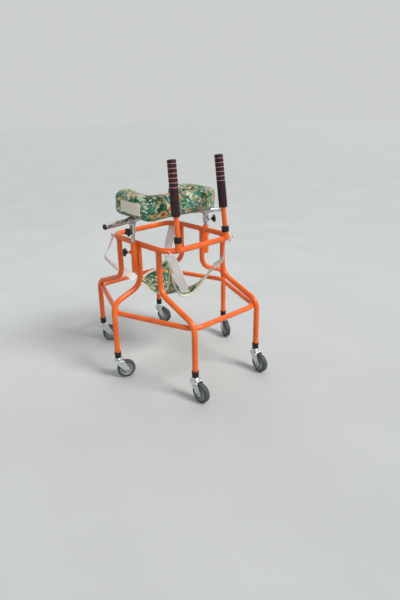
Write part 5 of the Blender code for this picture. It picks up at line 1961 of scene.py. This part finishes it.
    def _sew(self, mesh: bpy.types.Mesh) -> None:
        """Draw the seams in and pucker the cloth beside them.

        With u = offset / half thickness and v = height / half height, a seam runs where |u| = |v|.
        Depth is d exp(-(g/w)^2) for a distance g from it, and the puckers are a ripple along it. The
        unsupported front right corner droops, most at its lower side.

        Args:
            mesh: Mesh of the cover, in the pad's frame.
        """
        points, normal = read_points(mesh).astype(float), read_points(mesh, "normal")
        along, offset, up = self._cover_coordinates(points)
        u, v = offset / (self.thickness / 2.0), up / (self.height / 2.0)
        gap = (np.abs(u) - np.abs(v)) * 0.028
        edge = np.clip((np.abs(u) + np.abs(v) - 1.1) / 0.4, 0.0, 1.0)
        seam = np.exp(-((gap / self.seam_width) ** 2)) * edge
        welt = np.exp(-(((np.abs(gap) - 0.0034) / 0.0017) ** 2)) * edge
        ripple = np.sin(along * 410.0 + 2.2 * np.sin(along * 61.0) + 3.0 * np.sign(v))
        pucker = 0.00042 * ripple * np.exp(-((gap / 0.008) ** 2)) * edge
        swell = np.sin(up * 70.0 + along * 19.0 + 2.0 * np.sign(u))
        swell = 0.0009 * np.sin(along * 47.0 + 4.0 * v) * swell
        move = -self.seam_depth * seam + 0.0003 * welt + pucker + swell
        points += normal * move[:, None]
        gap = (points[:, :2] - self.droop_place) / self.droop_reach
        droop = np.exp(-((gap**2).sum(axis=1)))
        points[:, 2] -= self.droop * droop * (1.0 - 0.75 * points[:, 2] / self.height)
        mesh.vertices.foreach_set("co", points.astype(np.float32).ravel())
        set_places(mesh, np.stack([along, offset * 1.2, up], axis=-1))
        mesh.update()

    def _build_cover(self) -> bpy.types.Object:
        """The stuffed cover: remeshed, swelled, subdivided, sewn and set on the bars.

        Returns:
            The cover.
        """
        cover = Shell().add(self._start_grid()).piece("chest_pad", [self.finishes.cloth])
        remesh = cover.modifiers.new("even", "REMESH")
        remesh.mode = "VOXEL"
        remesh.voxel_size = self.voxel
        apply_modifiers(cover, "chest_pad_even")
        self._inflate(cover)
        smooth = cover.modifiers.new("round", "SUBSURF")
        smooth.levels = 1
        smooth.render_levels = 1
        mesh = apply_modifiers(cover, "chest_pad_cover")
        self._sew(mesh)
        mesh.materials.clear()
        mesh.materials.append(self.finishes.cloth)
        mesh.transform(self.support)
        mesh.shade_smooth()
        settle(cover, "trunk_support", ["trunk_pad"])
        return cover

    def _patch_grid(self, cover: bpy.types.Object) -> Array:
        """Middle surface of the patch: a leaning rectangle drawn onto the right arm's outer face.

        Args:
            cover: The cover that it is laid on.

        Returns:
            Grid of the middle surface.
        """
        points, outward, _ = self._stations(900)
        arm = (points[:, 0] < 0.0) & (outward[:, 0] < -0.3)
        face = points[arm] + outward[arm] * (self.thickness / 2.0 + 0.004)
        order = np.argsort(face[:, 1])
        y = np.linspace(*self.patch_y, self.patch_columns)
        x = np.interp(y, face[order, 1], face[order, 0])
        z = np.linspace(*self.patch_z, self.patch_rows)[:, None]
        z = z + self.patch_lean * (y - y.mean())
        grid = np.stack([np.broadcast_to(x, z.shape), np.broadcast_to(y, z.shape), z], axis=-1)
        shell = Shell().add_sheet(carried(grid, self.support), 0.0002)
        draft = shell.piece("loop_patch", [self.finishes.loops], 60.0)
        seat = draft.modifiers.new("seat", "SHRINKWRAP")
        seat.target = cover
        seat.wrap_method = "NEAREST_SURFACEPOINT"
        seat.wrap_mode = "ABOVE_SURFACE"
        seat.offset = 0.0010
        mesh = apply_modifiers(draft, "loop_patch_seated")
        columns = self.patch_columns
        ring = read_points(mesh).reshape(self.patch_rows, 2 * columns + 2, 3).astype(float)
        bpy.data.objects.remove(draft, do_unlink=True)
        back = ring[:, columns + 1 : 2 * columns + 1][:, ::-1]
        return smoothed(smoothed((ring[:, :columns] + back) / 2.0))

    def _stitches(self, sheet: Array) -> bpy.types.Object:
        """Row of stitches inside the patch's edge, each a short bowed thread.

        Args:
            sheet: Middle surface of the patch.

        Returns:
            The thread.
        """
        rows, columns = sheet.shape[:2]
        right, down = np.arange(1, columns - 2), np.arange(1, rows - 2)
        left, up = np.arange(columns - 2, 1, -1), np.arange(rows - 2, 1, -1)
        row = np.concatenate([0 * right + 1, down, 0 * left + rows - 2, up])
        column = np.concatenate([right, 0 * down + columns - 2, left, 0 * up + 1])
        place, lift = sheet[row, column], sheet_normals(sheet)[row, column]
        if float(np.mean(lift[:, 0])) > 0.0:
            lift = -lift
        shell = Shell()
        share = np.linspace(0.0, 1.0, 7)[:, None]
        bow = 0.00055 + 0.0004 * np.sin(share * math.pi)
        for start in range(0, len(place) - 2, 2):
            a, b = place[start], place[start + 1] * 0.75 + place[start + 2] * 0.25
            path = a + (b - a) * share + lift[start] * bow
            shell.add(sweep(path, circle(0.00030, 6), lift[start]))
        return shell.piece("loop_patch_thread", [self.finishes.binding], 60.0)

    def build(self) -> None:
        """Make the cover, the patch laid on its right arm and the stitches that hold it."""
        cover = self._build_cover()
        sheet = self._patch_grid(cover)
        shell = Shell().add_sheet(sheet, self.patch_wall)
        patch = shell.piece("loop_patch", [self.finishes.loops], 60.0)
        settle(patch, "trunk_support", ["pad_patch"])
        thread = settle(self._stitches(sheet), "trunk_support")


# Sling seat


@dataclass
class Sling:
    """Cloth seat with its binding, a near-black sheet of painted shade under its front, and four
    webbing straps.
    """

    finishes: Finishes
    pegs: dict[str, tuple[Array, Array]]
    rear_right: Point = (-0.112, 0.112, 0.354)
    rear_left: Point = (0.080, 0.130, 0.410)
    front_right: Point = (-0.108, -0.122, 0.480)
    front_left: Point = (0.105, -0.140, 0.415)
    waist: float = 0.45
    front_notch: float = 0.052
    rear_notch: float = 0.015
    sag: float = 0.132
    side_sag: float = 0.108
    front_sag: float = 0.152
    rear_sag: float = 0.006
    thickness: float = 0.0020
    fold: float = 0.0030
    web_width: float = 0.034
    web_thickness: float = 0.0014
    strap_clearance: float = 0.0095
    hook_place: float = 0.01600
    hook_half: tuple[float, float] = (0.0035, 0.0044)

    def surface(self, across: Array, along: Array) -> Array:
        """Seat's surface: four corners blended bilinearly, then waisted, notched and sagged.

        With p = 1 - across^2, q = 1 - along^2, f and r the front and rear shares: x is multiplied by
        1 - waist q; y gains front_notch p f and loses rear_notch p r; z loses sag p q
        + side_sag across^2 q + front_sag p along^2 f + rear_sag p along^2 r. Folds of
        fold sin(9 across + 5 along) fade in towards the corners.

        Args:
            across: From -1 at the right edge to 1 at the left edge.
            along: From -1 at the front edge to 1 at the rear edge.

        Returns:
            The points.
        """
        left, right = (1.0 + across) / 2.0, (1.0 - across) / 2.0
        rear, front = (1.0 + along) / 2.0, (1.0 - along) / 2.0
        point = (
            (rear * right)[..., None] * np.array(self.rear_right)
            + (rear * left)[..., None] * np.array(self.rear_left)
            + (front * right)[..., None] * np.array(self.front_right)
            + (front * left)[..., None] * np.array(self.front_left)
        )
        p, q = 1.0 - across**2, 1.0 - along**2
        x = point[..., 0] * (1.0 - self.waist * q)
        y = point[..., 1] + self.front_notch * p * front - self.rear_notch * p * rear
        z = point[..., 2] - self.sag * p * q - self.side_sag * across**2 * q
        z -= self.front_sag * p * along**2 * front + self.rear_sag * p * along**2 * rear
        corner = np.clip(np.hypot(across, along) - 0.55, 0.0, 1.0)
        z += self.fold * corner * np.sin(9.0 * across + 5.0 * along)
        z += 0.0012 * np.sin(7.0 * across * along + 3.0 * along) * p
        return np.stack([x, y, z], axis=-1)

    def _build_binding(self) -> bpy.types.Object:
        """Cream tape folded over the seat's edge all the way round.

        Returns:
            The binding.
        """
        t = np.linspace(-1.0, 1.0, 90)[:-1]
        one = np.ones_like(t)
        across = np.concatenate([t, one, -t, -one])
        along = np.concatenate([-one, t, one, -t])
        edge = self.surface(across, along)
        inward = unit(self.surface(across * 0.94, along * 0.94) - edge)
        upper = [(0.0080, 0.0012), (0.0078, 0.0019), (0.0040, 0.0021), (0.0002, 0.0019)]
        section = np.array([*upper, (-0.0013, 0.0), *((a, -b) for a, b in upper[::-1])])
        grid = sweep(edge, section, inward, closed=True)
        shell = Shell().add(grid, loop=True)
        steps = np.linalg.norm(np.diff(edge, axis=0, append=edge[:1]), axis=1)
        place = np.zeros_like(grid)
        place[..., 0] = np.linspace(-0.008, 0.008, len(section))
        place[..., 1] = np.cumsum(steps)[:, None]
        shell.places[-1] = place.reshape(-1, 3)
        return shell.piece("sling_binding", [self.finishes.binding], 60.0)

    def _build_dark_tape(self) -> bpy.types.Object:
        """Near-black sheet just under the front edge: painted shade where the seat hangs over.

        Returns:
            The sheet.
        """
        across, along = np.meshgrid(np.linspace(-0.27, 0.36, 24), np.linspace(-0.995, -0.84, 8))
        grid = self.surface(across, along)
        normal = sheet_normals(grid)
        down = normal * np.sign(-normal[..., 2:])
        # Painted shade: the near-black sheet lies 3 mm below the seat's front edge.
        shell = Shell().add_sheet(grid + down * 0.0030, 0.0016)
        return shell.piece("sling_dark_tape", [self.finishes.dark_tape], 60.0)

    def _routes(self) -> dict[str, tuple[Array, Array]]:
        """Routes of the straps: from a peg, under it and round the ring, to the seat.

        Returns:
            Middle line and facing of each strap, by its corner's name.
        """
        seam = self.surface(np.array([0.15]), np.array([-0.85]))[0]
        outward, slack, rear = (-0.60, -0.78, 0.20), (-0.77, 0.63, 0.0), (0.60, 0.78, -0.20)
        front = [(-0.098, -0.146, 0.462), (-0.060, -0.124, 0.402), (-0.018, -0.092, 0.342), seam]
        loose = [(-0.186, 0.188, 0.482), (-0.199, 0.198, 0.454), (-0.184, 0.190, 0.428)]
        loose += [(-0.160, 0.176, 0.402), (-0.132, 0.148, 0.376), self.rear_right]
        turning = [(-0.5, 0.2, 0.8), (-0.4, -0.3, 0.9), (-0.3, -0.3, 0.9)]
        hung = [(0.126, -0.172, 0.455), self.front_left]
        ends = {
            "front_right": (front, [outward] * 4),
            "front_left": (hung, [(0.8, -0.6, -0.1), (0.5, 0.1, -0.9)]),
            "rear_right": (loose, [slack] * 3 + turning),
            "rear_left": ([(0.100, 0.146, 0.452), self.rear_left], [rear] * 2),
        }
        routes = {}
        for name, (points, faces) in ends.items():
            place, direction = self.pegs[name]
            first = [place + direction * (self.hook_place + 0.00025) - UP * 0.0046]
            for angle in (math.radians(58.0), math.radians(104.0)):
                turned = direction * math.cos(angle) - UP * math.sin(angle)
                first.append(place + turned * (RING_RADIUS + self.strap_clearance))
            kept = first[:1] if name == "rear_right" else first
            facing = np.array([*([direction] * len(kept)), *faces])
            routes[name] = (np.array([*kept, *points]), facing)
        return routes

    def _strap_grid(self, line: Array, facing: Array) -> Array:
        """Strap's surface: its middle line plus share times half the width, across = T x facing.

        The tape is slightly cupped, by 0.6 mm share^2, and its sides waver a little.

        Args:
            line: Points that the middle line goes through.
            facing: Way that the strap faces at each of them.

        Returns:
            Grid of the strap.
        """
        path = smooth_line(line, 96)
        ahead = unit(np.gradient(path, axis=0))
        across = unit(np.cross(ahead, unit(smooth_line(facing, 96))))
        over = np.cross(across, ahead)
        share = np.linspace(-1.0, 1.0, 9)
        waver = 1.0 - 0.04 * np.sin(np.linspace(0.0, 9.0, 97)) ** 2
        sideways = (self.web_width / 2.0 * waver)[:, None] * share
        cup = (0.0006 * share**2)[:, None]
        return path[:, None] + across[:, None] * sideways[..., None] + over[:, None] * cup

    def _build_straps(self) -> list[bpy.types.Object]:
        """The four straps, each with the loop that hooks it on its peg.

        Returns:
            The straps.
        """
        band = np.array([(-0.0024, -0.0004), (0.0024, -0.0004), (0.0024, 0.0004), (-0.0024, 0.0004)])
        made = []
        for name, (line, facing) in self._routes().items():
            shell = Shell().add_sheet(self._strap_grid(line, facing), self.web_thickness)
            place, direction = self.pegs[name]
            loop = carried(hoop(*self.hook_half, self.hook_place, 40), axis_frame(place, direction))
            shell.add(sweep(loop, band, direction, closed=True), loop=True)
            strap = shell.piece(f"strap_{name}", [self.finishes.webbing], 60.0)
            made.append(settle(strap, "frame"))
        return made

    def build(self) -> None:
        """Make the seat, what is sewn to it, and the sheet of painted shade under its front."""
        share = np.linspace(-1.0, 1.0, 81)
        grid = self.surface(*np.meshgrid(share, share))
        shell = Shell().add_sheet(grid, self.thickness)
        seat = shell.piece("sling_cloth", [self.finishes.cloth], 70.0)
        settle(seat, "frame", ["seat_sling"])
        binding = settle(self._build_binding(), "frame")
        # The near-black sheet of painted shade under the seat's front.
        tape = settle(self._build_dark_tape(), "frame")
        straps = self._build_straps()


# Studio


class LampKind(Enum):
    """Kinds of lamp."""

    SUN = "SUN"
    PANEL = "AREA"


@dataclass(frozen=True)
class Lamp:
    """Soft lamp; its width is the side of a panel in metres, or a sun's spread in degrees."""

    name: str
    kind: LampKind
    place: Point
    width: float
    power: float
    colour: Colour
    aim: Point = (0.0, 0.0, 0.0)

    def make(self) -> None:
        """Add the lamp, turned from its place to its aim."""
        data = bpy.data.lights.new(self.name, self.kind.value)
        if self.kind is LampKind.SUN:
            data.angle = math.radians(self.width)
        else:
            data.size = self.width
        data.energy = self.power
        data.color = self.colour
        place = Vector(self.place)
        turn = (Vector(self.aim) - place).to_track_quat("-Z", "Y").to_matrix().to_4x4()
        new_object(self.name, data).matrix_world = Matrix.Translation(place) @ turn


LAMPS = (
    Lamp("sun_key", LampKind.SUN, (0.75, -2.3, 2.6), 22.0, 2.55, (1.0, 0.985, 0.96)),
    Lamp("sun_fill", LampKind.SUN, (2.4, 0.6, 1.2), 60.0, 0.30, (0.95, 0.98, 1.0)),
    Lamp("lamp_top", LampKind.PANEL, (0.5, 1.2, 2.7), 1.2, 9.0, (1.0, 1.0, 1.0), (0.0, 0.0, 0.42)),
)


@dataclass
class Studio:
    """Pale floor, soft lamps, pale surroundings and the camera."""

    eye: Point = (-1.15512, -1.45975, 1.02425)
    right: Point = (0.766195, -0.642032, -0.027211)
    up: Point = (0.246653, 0.254725, 0.935028)
    back: Point = (-0.593386, -0.723126, 0.353528)
    lens: float = 28.156
    shift: tuple[float, float] = (0.0325, -0.02417)
    ambient: float = 0.42
    ambient_colour: Colour = (0.95, 0.98, 1.0)
    surround: Colour = (0.605, 0.625, 0.620)
    floor_half: float = 30.0

    def _floor(self) -> None:
        """Wide plain floor."""
        half = self.floor_half
        mesh = bpy.data.meshes.new("studio_floor")
        corners = [(-half, -half, 0), (half, -half, 0), (half, half, 0), (-half, half, 0)]
        mesh.from_pydata(corners, [], [(0, 1, 2, 3)])
        mesh.materials.append(FloorFinish().make())
        floor = new_object("studio_floor", mesh)

    def _world(self) -> None:
        """Even light, and pale surroundings for what the camera and bright metal see."""
        world = bpy.data.worlds.new("studio_air")
        bpy.context.scene.world = world
        world.use_nodes = True
        recipe = Recipe(world.node_tree)
        world.node_tree.nodes.clear()
        seen = recipe.node("ShaderNodeLightPath", output="Is Camera Ray")
        outputs = seen.socket.node.outputs
        for ray in ("Is Glossy Ray", "Is Transmission Ray"):
            seen = seen.highest(Wire(recipe, outputs[ray]))
        sky, shown = (
            recipe.node("ShaderNodeBackground", {}, {"Color": colour, "Strength": strength})
            for colour, strength in ((self.ambient_colour, self.ambient), (self.surround, 1.0))
        )
        mixed = recipe.node("ShaderNodeMixShader", {}, {0: seen, 1: sky, 2: shown})
        target = world.node_tree.nodes.new("ShaderNodeOutputWorld")
        recipe.feed(target.inputs["Surface"], mixed)

    def _camera(self) -> None:
        """Camera at the viewing angle of the picture."""
        data = bpy.data.cameras.new("studio_camera")
        data.sensor_width = 36.0
        data.lens = self.lens
        data.shift_x, data.shift_y = self.shift
        data.clip_start, data.clip_end = 0.05, 60.0
        camera = new_object("studio_camera", data)
        turn = Matrix((self.right, self.up, self.back)).transposed().to_4x4()
        camera.matrix_world = Matrix.Translation(Vector(self.eye)) @ turn
        bpy.context.scene.camera = camera

    def build(self) -> None:
        """Set the scene."""
        self._floor()
        for lamp in LAMPS:
            lamp.make()
        self._world()
        self._camera()
        bpy.context.scene.view_settings.view_transform = "Standard"


def main() -> None:
    """Dress the frame, sub-assembly by sub-assembly."""
    logging.basicConfig(level=logging.INFO, format="%(name)s: %(message)s")
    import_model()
    finishes = Finishes()
    tubes = TubeFrame(finishes)
    tubes.build()
    for line in LEG_LINES:
        Caster(finishes, line).build()
    for side in Side:
        Handle(finishes, HandleSocket(side)).build()
    support = TrunkSupport(finishes)
    support.build()
    TrunkPad(finishes, support.support_matrix()).build()
    Sling(finishes, tubes.pegs()).build()
    Studio().build()


if __name__ == "__main__":
    main()
